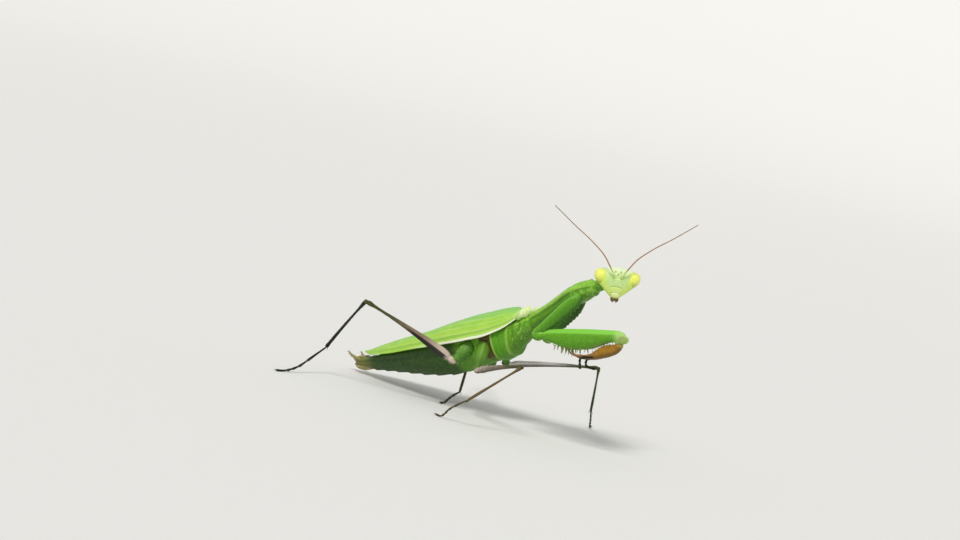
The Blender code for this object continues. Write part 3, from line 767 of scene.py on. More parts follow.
# %% Mouthparts
JAW = ((0.2, 0.42, -1.7), (0.3, 0.36, -2.15), (0.35, 0.2, -2.4), (0.37, 0.04, -2.52))
PALPS = ((((-0.25, 0.4, -1.95), (0.0, 0.54, -2.25), (0.25, 0.5, -2.5), (0.42, 0.32, -2.66),
           (0.46, 0.15, -2.72)), (0.1, 0.1, 0.09, 0.07)),
         (((-0.35, 0.26, -2.05), (-0.2, 0.34, -2.4), (0.0, 0.33, -2.66), (0.2, 0.2, -2.78)),
          (0.1, 0.09, 0.08, 0.07)))
LOWER_LIP = ((-0.3, 0, -1.8), (-0.1, 0, -2.3), (0.05, 0, -2.62))


def mirrored(points, left):
    """Points as they are on the left (1), or with their y turned round (-1)."""
    return np.array(points) * (1, left, 1)


def mouth_tube(points, half, flat, first_mark, last_mark, **shape):
    """Tube down from the mouth, flattened from front to back."""
    count = len(half)
    grid = tube(soften(points, count), half, half * flat, up=(1, 0, 0), **shape)
    return head_to_body(grid), {"along": np.linspace(first_mark, last_mark, count)[:, None]}


def palp(points, sizes, count=60):
    """Soft path whose half thickness swells by a quarter before every joint and narrows after."""
    t = np.linspace(0, 1, count)
    half = np.interp(t, np.linspace(0, 1, len(sizes)), sizes)
    for joint in (0.2, 0.42, 0.62, 0.8):
        half = half * (1 + 0.25 * hump(t, joint, 0.045) - 0.2 * hump(t, joint + 0.05, 0.025))
    grid = tube(soften(points, count), half * domed(1.02 - t, 18), count=12)
    return head_to_body(grid), {"along": t[:, None]}


mouth_shells = []
for left in (-1, 1):
    mouth_shells.append(mouth_tube(mirrored(JAW, left), np.linspace(0.34, 0.1, 26), 0.8, 0.3, 0.9,
                                   count=14))
    mouth_shells += [palp(mirrored(points, left), sizes) for points, sizes in PALPS]
mouth_shells.append(mouth_tube(LOWER_LIP, 0.5 * domed(1.05 - np.linspace(0, 1, 20) ** 2, 1), 0.6,
                               0.2, 0.7))
mouth = Finish("mouth_brown_skin", Roughness=0.4)
brown = mouth.layers(
    mouth.patches(mouth.noise(7.0, 3.0), (164, 158, 70), (140, 122, 50), 0.35, 0.65),
    (mouth.mark("along").rise(0.3, 0.75) * 0.85, (84, 52, 18)))
make_piece("jaws_and_palps", mouth_shells,
           mouth.wear(brown, 0.35 + mouth.noise(9.0) * 0.15, mouth.noise(18.0), 0.02),
           ("mouthparts",))

# %% [markdown]
# ### Feelers
# Each feeler starts with a thick first joint in its socket and a short second one, and then runs
# out in some ninety tiny rings. An Array modifier could repeat one ring along a curve, but the
# rings get thinner all the way. A saw-tooth on the half thickness makes them in one tube.

# %% Feelers
FEELER_LINE = ((1.35, *FEELER_SOCKET), (1.85, 0.78, 1.5), (2.3, 1.3, 2.3), (2.4, 2.4, 3.9),
               (2.3, 4.5, 5.8), (2.0, 7.3, 7.8), (1.5, 11.0, 10.6))
FEELER_RINGS = 95
feeler = Finish("feeler_brown_skin", Roughness=0.5)
along = feeler.mark("along")
brown = feeler.layers(feeler.mix(along.rise(0.06, 0.15), (204, 224, 150), (156, 104, 48)),
                      (along.rise(0.1, 1.0) * 0.5, (96, 62, 30)),
                      (feeler.mark("ring") * 0.35, (70, 46, 24)))
feeler_finish = feeler.wear(brown, 0.45 + feeler.noise(8.0) * 0.15, feeler.noise(16.0), 0.015)
t = np.linspace(0, 1, 420)
ring = np.where(t > 0.1, (t * FEELER_RINGS) % 1.0, 0.0)
thick = 0.115 - 0.06 * t ** 0.7 + 0.085 * fade(0.075, 0.055, t) + 0.035 * fade(0.105, 0.09, t)
thick = thick * (1 - 0.35 * hump(t, 0.065, 0.008)) * (1 - 0.3 * hump(t, 0.1, 0.006))
thick = thick * (1 + 0.14 * (ring - 0.5)) * domed(1.003 - t, 60)
for side_name, left in SIDES:
    grid = head_to_body(tube(soften(mirrored(FEELER_LINE, left), len(t)), thick, count=10))
    make_piece("feeler_" + side_name,
               [(grid, {"along": t[:, None], "ring": fade(0.75, 1.0, ring)[:, None]})],
               feeler_finish, ("antenna_" + side_name,))

# %% [markdown]
# ## Wing covers
# The two leathery fore wings lie over the abdomen like a roof, the right one lapping over the
# left along the back. Each is one curved sheet: a roof section from ridge to outer edge, carried
# down the body, with rounded tip and narrow base. Its veins are ridges on the outer face, and
# the same vein numbers are stored for the colour. A Solidify modifier on an open sheet could give
# it a wall, but with a square rim. Here the wall is worked out with the sheet, so the cover is a
# closed shell with a rounded white front edge.

# %% Wing sizes and veins
WING_RIDGE = ((10.3, 19.0), (9.4, 19.0), (3.0, 16.75), (-2.5, 14.1), (-8.0, 11.0), (-12.2, 9.0),
              (-17.0, 6.6), (-21.0, 4.5), (-22.4, 3.95))
WING_EDGE = ((10.5, 1.7, 18.3), (9.4, 2.7, 16.5), (6.5, 3.75, 13.9), (2.0, 4.25, 11.7),
             (-3.7, 4.4, 9.4), (-8.0, 4.3, 7.8), (-13.5, 3.75, 5.7), (-18.0, 2.75, 4.35),
             (-21.0, 1.5, 3.7), (-22.4, 0.6, 3.65))
WING_BASE, WING_TIP, TIP_ROUNDS_FROM, TIP_RINGS_FROM = 10.5, -22.4, -18.4, -18.0
# where each long vein lies: fraction across at the base, slope and bend towards the tip,
# where it starts and ends along the wing, height in mm, width as a fraction across
VEINS = ((0.925, 0.06, 0.0, 0.0, 0.6, 0.05, 0.012), (0.86, 0.02, -0.12, 0.0, 0.97, 0.1, 0.02),
         (0.73, -0.04, -0.1, 0.0, 0.95, 0.07, 0.014), (0.735, -0.16, 0.0, 0.3, 0.93, 0.05, 0.011),
         (0.6, -0.13, -0.05, 0.02, 0.93, 0.07, 0.014), (0.62, -0.32, 0.0, 0.14, 0.86, 0.05, 0.011),
         (0.64, -0.5, 0.0, 0.2, 0.8, 0.05, 0.011), (0.7, -0.75, 0.0, 0.32, 0.74, 0.05, 0.011),
         (0.5, -0.5, 0.0, 0.05, 0.72, 0.06, 0.012), (0.42, -0.72, 0.0, 0.0, 0.62, -0.09, 0.016),
         (0.28, -0.5, 0.0, 0.0, 0.6, 0.05, 0.012), (0.17, -0.4, 0.0, 0.0, 0.55, 0.04, 0.011))
CROSS_VEINS = 42


def vein_field(u, t):
    """Height in mm and strength of the veins at u along the wing (0 to 1) and t across it."""
    height, strength = np.zeros_like(u * t), np.zeros_like(u * t)
    for start, slope, bend, begin, end, tall, wide in VEINS:
        vein = (hump(t, start + slope * u + bend * u * u, wide)
                * window(u, begin - 0.01, begin + 0.02, end - 0.03, end + 0.03))
        height += tall * vein
        strength = np.maximum(strength, vein)
    ladder = np.sin(2 * np.pi * (u * CROSS_VEINS - t * 6)) ** 8
    return height + 0.03 * ladder * fade(0.9, 0.93, t) * fade(0.85, 0.7, u), strength


print(len(VEINS), "long veins and about", CROSS_VEINS * 2, "short ones along the front edge")

# %% Wing shape


def wing_shell(left, lift):
    """Roof section y = half * sin(a), z = low + rise * cos(a) ** 0.85, with a wall inside it."""
    into = np.sin(np.linspace(0.02, np.pi / 2, 40))
    x = np.concatenate([np.linspace(WING_BASE, TIP_RINGS_FROM, 230),
                        WING_TIP + (TIP_RINGS_FROM - WING_TIP) * (1 - into)])[:, None]
    s = np.linspace(0, 1, 90)[None, :]
    into_tip = np.clip((TIP_ROUNDS_FROM - x) / (TIP_ROUNDS_FROM - WING_TIP), 0, 1)
    shrink = 1 - domed(1 - into_tip * into_tip, 1)
    inner = -0.13 + 0.62 * fade(7.2, WING_BASE, x) ** 1.5 + 0.62 * shrink
    t = inner + (1.0 - 0.42 * shrink - inner) * s
    a = t * np.pi / 2
    half, low, top = curve(WING_EDGE, x, 1), curve(WING_EDGE, x, 2), curve(WING_RIDGE, x)
    flare = 0.16 * fade(0.93, 1.0, t)
    y = 0.15 + (half - 0.15) * np.sin(a) + flare * 0.8
    z = low + (top - low) * np.cos(a) ** 0.85 + lift * fade(0.25, -0.05, t) - flare * 0.3
    sheet = np.stack([x + 0 * y, y * left, z], axis=-1)
    normal = unit(np.cross(np.gradient(sheet, axis=0), np.gradient(sheet, axis=1)))
    away = np.stack([0 * y, sheet[..., 1], z - (low - 1.0)], axis=-1)
    normal *= np.sign((normal * away).sum(axis=-1, keepdims=True))
    u = (WING_BASE - x) / (WING_BASE - WING_TIP) + 0 * t
    height, strength = vein_field(u, t)
    edge = np.minimum(both_ends(s) / 0.03, 1)
    thick = 0.05 + 0.12 * domed(edge * (2 - edge), 1) + 0.08 * window(t, 0.93, 0.97, 0.985, 1.02)
    back = sheet - normal * thick[..., None]
    grid = np.concatenate([sheet + normal * height[..., None], back[:, ::-1]], axis=1)
    marks = {"along": u, "across": t, "vein": strength}
    return grid, {key: np.concatenate([v, v[:, ::-1]], axis=1) for key, v in marks.items()}


print("a wing cover has", wing_shell(1, 0.0)[0].shape[:2], "rings and columns")

# %% [markdown]
# ### Wing finish
# Fresh leaf green, yellower down the side, with a white front edge that fades out past the
# middle; a cooler, milky green along the back is painted sheen where light falls on the top.
# Between the veins a mesh of tiny cells gives the leathery grain; it is a stretched cell pattern
# in the bump and a faint one in the colour.

# %% Wing finish and pieces
wing = Finish("wing_cover", Roughness=0.45, Subsurface_Weight=0.12,
              Subsurface_Radius=(0.7, 1.0, 0.25), Specular_IOR_Level=0.35)
along, across, vein = wing.mark("along"), wing.mark("across"), wing.mark("vein")
grain = wing.noise(0.9, 4.0, 0.6, (0.5, 1.0, 1.0))
mesh_line = wing.cells(3.6, (0.6, 1.0, 1.0), "DISTANCE_TO_EDGE").rise(0.09, 0.0)
blade = wing.layers(
    wing.patches(grain, (150, 206, 68), (170, 220, 86)),
    # painted sheen: a cooler, milky green along the back, where light falls on the top
    (across.rise(0.68, 0.35) * 0.8, (130, 204, 104)),
    (across.rise(0.62, 0.8) * 0.4, (184, 222, 78)),
    (across.band(0.86, 0.93, 0.02) * 0.35, (110, 176, 60)),
    (along.rise(0.6, 1.0) * 0.4, (150, 196, 88)),
    (mesh_line * 0.22, (120, 180, 62)),
    (vein * 0.45, (206, 232, 140)),
    (across.rise(0.955, 0.975) * along.rise(0.62, 0.36) * 0.95, (246, 250, 226)),
    (along.rise(0.05, 0.0) * 0.7, (222, 238, 170)))
wing_finish = wing.wear(blade, 0.36 + grain * 0.2, mesh_line * -0.6 + wing.noise(7.0, 3.0) * 0.5,
                        0.03)
for (side_name, left), lift in zip(SIDES, (-0.12, 0.1)):
    make_piece("wing_cover_" + side_name, [wing_shell(left, lift)], wing_finish,
               ("tegmen_" + side_name,))

# %% [markdown]
# The hinge of each wing is a pale lobed knob on the thorax, just in front of the cover. Three
# balls in a row would look like beads on a string, so it is one thick bent tube that narrows a
# little between its lobes.

# %% Wing hinges
HINGE_LINE = ((10.1, 2.35, 17.2), (10.35, 2.05, 17.85), (10.65, 1.65, 18.4), (10.95, 1.15, 18.85),
              (11.15, 0.6, 19.05))
t = np.linspace(0, 1, 60)
half = 0.4 + 0.3 * fade(0.2, 0.55, t) - 0.05 * hump(t, 0.4, 0.05) - 0.05 * hump(t, 0.7, 0.04)
half = half * domed(both_ends(t), 9, 0.02)
hinge_shells = [(tube(soften(mirrored(HINGE_LINE, left), len(t)), half, half * 1.1, count=32),
                 {"up": t[:, None]}) for left in (-1, 1)]
knob = Finish("wing_hinge", Roughness=0.4, Subsurface_Weight=0.1)
cream = knob.layers(
    knob.patches(knob.noise(4.0, 3.0), (206, 228, 140), (232, 242, 190), 0.35, 0.65),
    (knob.mark("up").rise(0.45, 0.1) * 0.7, (132, 190, 72)))
make_piece("wing_hinges", hinge_shells,
           knob.wear(cream, 0.35 + knob.noise(6.0) * 0.15, knob.noise(12.0), 0.02))

# %% [markdown]
# ## Leg joints
# Each leg is drawn as its root on the trunk and then, for each piece, a turn from straight
# ahead, a lift from level and a length. Adding them up gives the joints. An armature could hold
# the same angles, but a still model needs no bones, and a list of numbers is easy to compare
# with a real leg. A walking leg also has the place of its foot on the floor, and one foot sags
# on its way down.

# %% Legs
LEGS = {
    "mid_right": dict(root=(4.7, -2.2, 12.0), coxa=(-57.5, -56.3, 5.0), femur=(-17.5, 15.5, 13.5),
                      tibia=(-161.0, -43.5, 10.6), foot=(5.0, -9.8)),
    "mid_left": dict(root=(5.2, 2.2, 11.8), coxa=(116.0, -53.0, 3.8), femur=(36.0, 10.8, 14.9),
                     tibia=(127.0, -48.0, 10.8), foot=(8.6, 23.2)),
    "hind_right": dict(root=(2.0, -2.2, 11.0), coxa=(-112.0, -51.5, 3.85),
                       femur=(-138.5, 22.0, 16.9), tibia=(162.5, -44.5, 14.0),
                       foot=(-20.6, -20.6), sag=1.1),
    "hind_left": dict(root=(2.0, 2.2, 11.0), coxa=(112.0, -51.5, 3.85), femur=(143.0, 14.0, 16.6),
                      tibia=(-53.0, -44.0, 14.9), foot=(-3.6, 0.1)),
    "fore_right": dict(root=(21.4, -1.9, 23.9), coxa=(-155.6, -53.3, 9.73),
                       femur=(18.0, 12.7, 15.2)),
    "fore_left": dict(root=(19.0, 1.9, 22.8), coxa=(170.8, -48.5, 10.41), femur=(2.0, 14.0, 15.2)),
}
BONES = {"cone": "coxa", "thigh": "femur", "shin": "tibia", "blade": "tibia", "foot": "tarsus"}


def heading(turn, lift):
    """Unit vector at a turn round from straight ahead and a lift from level."""
    a, e = math.radians(turn), math.radians(lift)
    return np.array((math.cos(a) * math.cos(e), math.sin(a) * math.cos(e), math.sin(e)))


def joints_of(leg):
    """Root, hip, knee and, on a walking leg, ankle: each the last plus heading times length."""
    points = [np.array(leg["root"], float)]
    for turn, lift, length in (leg[part] for part in ("coxa", "femur", "tibia") if part in leg):
        points.append(points[-1] + heading(turn, lift) * length)
    return points


def leg_axes(start, end):
    """Along, side and up of a leg piece: side is level, up is square to both."""
    along = unit(end - start)
    side = unit(np.cross(UPWARD, along))
    return along, side, np.cross(along, side)


for key, leg in LEGS.items():
    print(key, "joints in mm:", np.round(joints_of(leg), 1).tolist())

# %% Leg pieces


def limb(start, end, sizes, rows, columns=28, bow=STRAIGHT, relief=None, square=1.0):
    """Bowed leg piece, its rings closer at the ends: relief(t, a) is added to the sizes."""
    t = (1 - np.cos(np.linspace(0, np.pi, rows))) / 2 * 0.35 + np.linspace(0, 1, rows) * 0.65
    close = domed(both_ends(t), 40, 0.02)
    a = round_angles(columns)
    extra = relief(t[:, None], a) * close[:, None] if relief else 0.0
    grid = tube(bowed(start, end, t, bow), *[half * close for half in halves(sizes, t)],
                count=columns, relief=extra, square=square)
    return grid, {"along": t[:, None], "high": np.sin(a), "out": np.cos(a)}


def knee_flaps(knee, axes, back, apart, down, sizes, columns):
    """Two flat beads, one on each side of the knee."""
    along, side, up = axes
    return [bead(knee - along * back + side * s * apart - up * down, sizes,
                 np.column_stack(axes), columns) for s in (-1, 1)]


def leg_piece(kind, key, shells, finish):
    """A piece of a leg, which stands for the solid of the same name."""
    pair, side_name = key.split("_")
    make_piece(f"{kind}_{key}", shells, finish, (f"{pair}_{BONES[kind]}_{side_name}",))


print("a leg piece is one of", ", ".join(BONES))

# %% [markdown]
# ## Walking legs
# The four walking legs are slim: a cone on the trunk, a small ring, a long thigh with four
# faint ridges and two knee flaps, a thin shin with spurs, and a foot of five joints that ends
# in a pair of claws. Thigh and shin have rows of tiny bristles. A hair system could grow them,
# but hair is not part of the mesh, so each one is a thin thorn. The sizes are fractions of the
# length with half width, half height above and half height below.

# %% Walking leg sizes
CONE = ((0.0, 1.15, 1.2, 1.15), (0.3, 1.2, 1.25, 1.15), (0.62, 1.0, 1.05, 0.98),
        (0.8, 0.74, 0.8, 0.78), (0.93, 0.78, 0.8, 0.8), (1.0, 0.5, 0.5, 0.5))
MID_THIGH = ((0.0, 0.28, 0.3, 0.3), (0.04, 0.42, 0.5, 0.48), (0.2, 0.42, 0.5, 0.48),
             (0.6, 0.28, 0.34, 0.32), (0.9, 0.21, 0.25, 0.24), (0.97, 0.27, 0.34, 0.3),
             (1.0, 0.18, 0.22, 0.22))
HIND_THIGH = ((0.0, 0.42, 0.45, 0.45), (0.04, 0.6, 0.7, 0.68), (0.2, 0.6, 0.78, 0.74),
              (0.4, 0.45, 0.56, 0.53), (0.6, 0.32, 0.37, 0.35), (0.9, 0.25, 0.28, 0.27),
              (0.97, 0.31, 0.41, 0.36), (1.0, 0.22, 0.27, 0.25))
THIGH_RING = ((0, 0.42), (0.4, 0.64), (1, 0.42))
SHIN = ((0.0, 0.26, 0.3, 0.3), (0.04, 0.3, 0.34, 0.32), (0.12, 0.22, 0.25, 0.25),
        (0.55, 0.2, 0.23, 0.22), (0.92, 0.23, 0.25, 0.25), (1.0, 0.2, 0.2, 0.2))
FOOT_JOINTS = (0.0, 0.4, 0.56, 0.68, 0.78, 1.0)
FOOT_HEIGHT, CLAW_HEIGHT = 0.17, 0.03
# rows of bristles: angle round the piece, how many
THIGH_BRISTLES = ((-0.9, 10), (-2.2, 10))
SHIN_BRISTLES = ((0.5, 12), (2.6, 12), (-0.6, 16), (-2.5, 16))


def times(sizes, factor):
    """A table of sizes with everything but its first column times a factor."""
    return [(t, *(size * factor for size in rest)) for t, *rest in sizes]


def ridged(t, a):
    """Four faint lengthwise ridges, fading towards the ends."""
    return 0.035 * np.cos(4 * a + np.pi) * window(t, 0.0, 0.1, 0.9, 1.0)


def fluted(t, a):
    """A leg cone with lengthwise seams and a raised collar at its end."""
    seams = hump(np.sin(a), 0.35, 0.1) + hump(np.cos(a), 0.55, 0.1) + hump(np.cos(a), -0.6, 0.1)
    return ((0.06 * np.cos(4 * a) - 0.13 * seams) * window(t, 0.0, 0.1, 0.75, 0.85)
            + 0.06 * hump(t, 0.93, 0.04))


print("the hind thigh is", 2 * max(w for _, w, _, _ in HIND_THIGH), "mm wide at most")

# %% Bristles and feet


def bristles(start, end, sizes, rows, long, lean, thick=0.035, bow=STRAIGHT):
    """Rows of tiny leaning thorns along a bowed piece, at the given angles round it."""
    along, side, up = leg_axes(start, end)
    shells = []
    for angle, count in rows:
        outward = side * math.cos(angle) + up * math.sin(angle)
        for t in np.linspace(0.12, 0.94, count):
            root = bowed(start, end, t, bow)[0] + outward * curve(sizes, t) * 0.8
            tip = root + (outward + along * lean) * long
            shells.append((spine(root, tip, thick, count=4, rows=3), {"along": t, "spine": 1.0}))
    return shells


def foot_shells(path, half, claw=0.5, pads=True, **marks):
    """Five joints of a foot along a path, each thicker towards its far end, and two claws."""
    walked, p = np.linspace(0, 1, len(path)), np.linspace(0, 1, 16)
    shells = []
    for k, (a, b) in enumerate(zip(FOOT_JOINTS, FOOT_JOINTS[1:])):
        t = np.linspace(a, b + 0.015, 16)
        line = np.column_stack([np.interp(t, walked, path[:, i]) for i in range(3)])
        thick = half * (0.72 + 0.4 * p ** 2) * domed(both_ends(p), 12, 0.1)
        below = thick * (1.0 + (0.35 * fade(0.4, 0.95, p) if pads and k < 4 else 0))
        grid = tube(line, thick, thick, below, count=12)
        grid[..., 2] = np.maximum(grid[..., 2], 0.0)
        joint = fade(0.75, 1.0, p)[:, None]
        shells.append((grid, {**marks, "along": 1.0 + k * 0.2, "joint": joint}))
    along, side, _ = leg_axes(path[-6], path[-1])
    for s in (-1, 1):
        tip = path[-1] + along * claw * 0.9 + side * s * claw * 0.5
        tip[2] = max(tip[2] - claw * 0.35, CLAW_HEIGHT)
        root = path[-1] + side * s * 0.05
        shells.append((spine(root, tip, half * 0.5, (0, 0, claw * 0.28), rows=8),
                       {**marks, "along": 2.0, "spine": 1.0}))
    return shells


print("a foot has", len(FOOT_JOINTS) - 1, "joints and two claws")

# %% [markdown]
# ### Leg finishes
# The cones share the green of the trunk and are painted lighter on top. The thighs are a pinkish
# grey, pale at the hip and greener at the knee, with painted shade underneath and a near-black
# stripe low down near the hip. Shins and feet are almost black with a green cast, and the shins
# carry painted shade underneath. Each leg could have materials of its own. Instead, numbers
# stored on each leg make it paler or darker than its neighbours, partly as painted light and
# shade, and three materials serve all four legs.

# %% Cone and thigh finishes
hip = Finish("leg_cone_green", Roughness=0.45, Subsurface_Weight=0.08, Specular_IOR_Level=0.32)
along, high, shaded = hip.mark("along"), hip.mark("high"), hip.mark("shaded")
grain = hip.noise(2.6, 4.0, 0.6)
coat = hip.layers(
    hip.patches(grain, (44, 100, 10), (68, 126, 22)),
    # painted light: the top of the cone lighter
    (high.rise(0.0, 0.9) * 0.35, (128, 176, 66)),
    (hip.noise(1.6, 4.0, 0.65).rise(0.52, 0.62) * 0.6, (44, 76, 16)),
    (hip.noise(1.3, 3.0, 0.6).rise(0.6, 0.68) * 0.5, (150, 188, 84)),
    # on shaded legs, painted light near the root and painted shade towards the end
    (shaded * 0.6, (112, 162, 52)),
    (shaded * along.rise(0.4, 0.9) * 0.6, (40, 70, 20)),
    (along.rise(0.9, 1.0) * 0.5, (150, 160, 90)))
hip_finish = hip.wear(coat, 0.38 + grain * 0.2, grain + hip.noise(10.0) * 0.4)

thigh = Finish("thigh_pink", Roughness=0.42, Subsurface_Weight=0.08, Specular_IOR_Level=0.28)
along, high, pale = thigh.mark("along"), thigh.mark("high"), thigh.mark("pale")
grain = thigh.noise(3.2, 4.0, 0.6, (1.0, 1.0, 0.6))
fleck = thigh.noise(7.5, 3.0, 0.6).rise(0.56, 0.64)
underside = high.rise(0.25, 0.0) * along.rise(0.62, 0.42) * along.rise(0.02, 0.08)
coat = thigh.layers(
    thigh.patches(grain, (98, 76, 46), (132, 104, 72)),
    (along.rise(0.38, 0.05) * 0.75, (222, 206, 186)),
    # whiter thighs: partly their own pale colour, partly painted light on legs that lie in shade
    (pale * along.rise(0.95, 0.6) * 0.9, (244, 236, 242)),
    # painted shade underneath the pale thighs
    (pale * high.rise(0.1, -0.4) * 0.8, (96, 84, 40)),
    # painted shade in patches on shaded legs
    (thigh.mark("shaded") * grain.rise(0.35, 0.6) * 0.7, (84, 80, 30)),
    (along.rise(0.4, 0.75) * 0.85, (52, 66, 18)),
    # painted shade: darker underneath
    (high.rise(-0.35, -0.85) * 0.7, (54, 48, 26)),
    (fleck * 0.3, (92, 72, 46)),
    (underside * thigh.mark("stripe"), (10, 12, 4)),
    (thigh.mark("spine") * 0.7, (60, 50, 28)))
thigh_finish = thigh.wear(coat, 0.34 + grain * 0.2, grain + fleck * -0.3, 0.03)

# %% Shin finish
shin = Finish("shin_dark", Roughness=0.42, Specular_IOR_Level=0.15)
grain = shin.noise(3.5, 4.0, 0.6)
coat = shin.layers(
    shin.patches(grain, (14, 22, 5), (30, 40, 12)),
    (shin.mark("brown"), shin.mix(grain, (126, 104, 62), (150, 128, 80))),
    (shin.mark("green") * 0.85, shin.mix(grain, (60, 92, 30), (82, 118, 42))),
    # painted shade: darker underneath
    (shin.mark("high").rise(-0.1, -0.7) * 0.5, (24, 24, 12)),
    (shin.mark("knot") * 0.8, (20, 20, 10)),
    (shin.mark("joint") * 0.3, (104, 92, 56)),
    (shin.mark("spine") * 0.5, (28, 24, 12)))
shin_finish = shin.wear(coat, 0.32 + grain * 0.2, grain + shin.noise(12.0) * 0.4, 0.025)

# %% [markdown]
# ### Building the four walking legs
# Five numbers set each leg apart: how pale its thigh is, how brown and how green its shin is,
# how much its cone and thigh are shaded, and how far its shin bows. The near hind shin has a
# dark swelling at its lower end, and its long foot sags down to the floor. The middle legs are
# slimmer than the hind legs, so their tables of sizes are taken times a factor.

# %% Thigh and shin
MID_SLIM, MID_CONE, MID_SHIN = 0.75, 0.775, 0.875


def thigh_shells(hip_at, knee, mid, pale, shaded):
    """Ridged thigh, the small ring it turns on, two knee flaps and two rows of bristles."""
    axes = along, _, up = leg_axes(hip_at, knee)
    slim, sizes, stripe = (MID_SLIM, MID_THIGH, 0.3) if mid else (1.0, HIND_THIGH, 0.95)
    tones = {"pale": pale, "shaded": shaded}
    start, bow = hip_at + along * 0.75, up * 0.25
    grid, marks = limb(start, knee, sizes, 90, bow=bow, relief=ridged)
    ring, ring_marks = limb(hip_at - along * 0.25, hip_at + along * 1.25,
                            [(t, *[size * slim] * 3) for t, size in THIGH_RING], 24, 24)
    flaps = knee_flaps(knee, axes, 0.1, 0.22 * slim, 0.05, np.array((0.42, 0.13, 0.34)) * slim, 14)
    shells = [(grid, {**marks, **tones, "stripe": stripe}),
              (ring, {**ring_marks, **tones, "along": 0.0})]
    shells += [(flap, {"along": 1.0, "high": 0.3}) for flap in flaps]
    return shells + bristles(start, knee, sizes, THIGH_BRISTLES, 0.22, 0.8, bow=bow)


def shin_shells(knee, ankle, sizes, bow, knot_at, tones):
    """Thin bowed shin with four rows of bristles and two spurs at its end."""
    along, side, up = leg_axes(knee, ankle)
    grid, marks = limb(knee, ankle, sizes, 100, 20, up * bow,
                       lambda t, a: ridged(t, a) * 0.5 + 0.1 * hump(t, knot_at, 0.035))
    shells = [(grid, {**marks, "knot": hump(marks["along"], knot_at, 0.05)})]
    shells += bristles(knee, ankle, sizes, SHIN_BRISTLES, 0.17, 1.0, 0.028, up * bow)
    for s in (-1, 1):
        base = ankle - along * 0.25 + side * s * 0.12 - up * 0.1
        tip = base + along * 0.75 + side * s * 0.28 - up * 0.16
        shells.append((spine(base, tip, 0.07, rows=7), {"spine": 1.0}))
    return [(grid, {**marks, **tones}) for grid, marks in shells]


def foot_path(ankle, foot, sag):
    """From inside the shin down to the floor, sagging in the middle, and level at its end."""
    step = foot - ankle
    level = unit(step * (1, 1, 0))
    path = soften([ankle - unit(step) * 0.12, ankle + step * 0.3 + (0, 0, 0.12 - sag * 0.65),
                   ankle + step * 0.57 + (0, 0, 0.06 - sag), foot - level * 0.6,
                   foot + level * 0.4], 60)
    path[:, 2] = np.maximum(path[:, 2], FOOT_HEIGHT)
    return path


print("middle thighs are", MID_SLIM, "times as thick at the hip as hind ones")

# %% Walking legs
LEG_TONES = {"mid_right": (0.25, 0.55, 0.0, 0.9, 0.0), "mid_left": (0.9, 0.1, 0.9, 0.2, 0.1),
             "hind_right": (0.1, 0.0, 0.0, 0.2, 0.1), "hind_left": (0.1, 0.3, 0.1, 0.5, 0.2)}
KNOT_AT, NO_KNOT = 0.965, 2.0

for key, (pale, brown, greenish, shaded, bow) in LEG_TONES.items():
    root, hip_at, knee, ankle = joints_of(LEGS[key])
    mid = key.startswith("mid")
    grid, marks = limb(root, hip_at, times(CONE, MID_CONE) if mid else CONE, 50, relief=fluted)
    leg_piece("cone", key, [(grid, {**marks, "shaded": shaded})], hip_finish)
    leg_piece("thigh", key, thigh_shells(hip_at, knee, mid, pale, shaded), thigh_finish)
    shells = shin_shells(knee, ankle, times(SHIN, MID_SHIN) if mid else SHIN, bow,
                         KNOT_AT if key == "hind_right" else NO_KNOT,
                         {"brown": brown, "green": greenish})
    leg_piece("shin", key, shells, shin_finish)
    path = foot_path(ankle, np.array((*LEGS[key]["foot"], FOOT_HEIGHT)), LEGS[key].get("sag", 0.0))
    leg_piece("foot", key, foot_shells(path, 0.17 if mid else 0.2, brown=brown * 0.5,
                                       green=greenish * 0.5), shin_finish)

# %% [markdown]
# ## Grasping legs
# The fore legs make the animal a mantis. A long three-sided cone reaches down from the front of
# the pronotum; the deep thigh carries two rows of thorns with a groove between them; the shin
# folds into that groove like the blade of a pocket knife and ends in a hook; and the slim foot
# starts beside the hook's root. All thorns are joined to the piece they grow from.

# %% Grasping leg sizes
FORE_CONE = ((0.0, 0.45, 0.5, 0.5), (0.1, 0.78, 0.85, 0.9), (0.22, 0.95, 1.05, 1.08),
             (0.5, 0.9, 1.0, 1.0), (0.85, 0.75, 0.82, 0.85), (0.96, 0.66, 0.75, 0.75),
             (1.0, 0.45, 0.5, 0.5))
FORE_THIGH = ((0.0, 0.45, 0.5, 0.5), (0.05, 0.66, 0.75, 0.75), (0.14, 0.76, 0.95, 1.1),
              (0.28, 0.88, 1.1, 1.85), (0.42, 0.9, 1.15, 1.91), (0.58, 0.86, 1.18, 1.72),
              (0.7, 0.8, 1.15, 1.15), (0.82, 0.72, 1.1, 0.62), (0.93, 0.68, 1.0, 0.62),
              (1.0, 0.4, 0.5, 0.4))
FORE_RING = ((0, 0.5, 0.55, 0.55), (0.45, 0.76, 0.84, 0.86), (1, 0.5, 0.6, 0.6))
BLADE = ((0, 0.3, 0.3, 0.3), (0.06, 0.44, 0.5, 0.5), (0.2, 0.46, 1.0, 0.72),
         (0.32, 0.44, 1.15, 0.72), (0.45, 0.38, 0.9, 0.55), (0.53, 0.32, 0.6, 0.42),
         (0.62, 0.28, 0.34, 0.32), (0.8, 0.18, 0.22, 0.22), (1.0, 0.03, 0.03, 0.03))
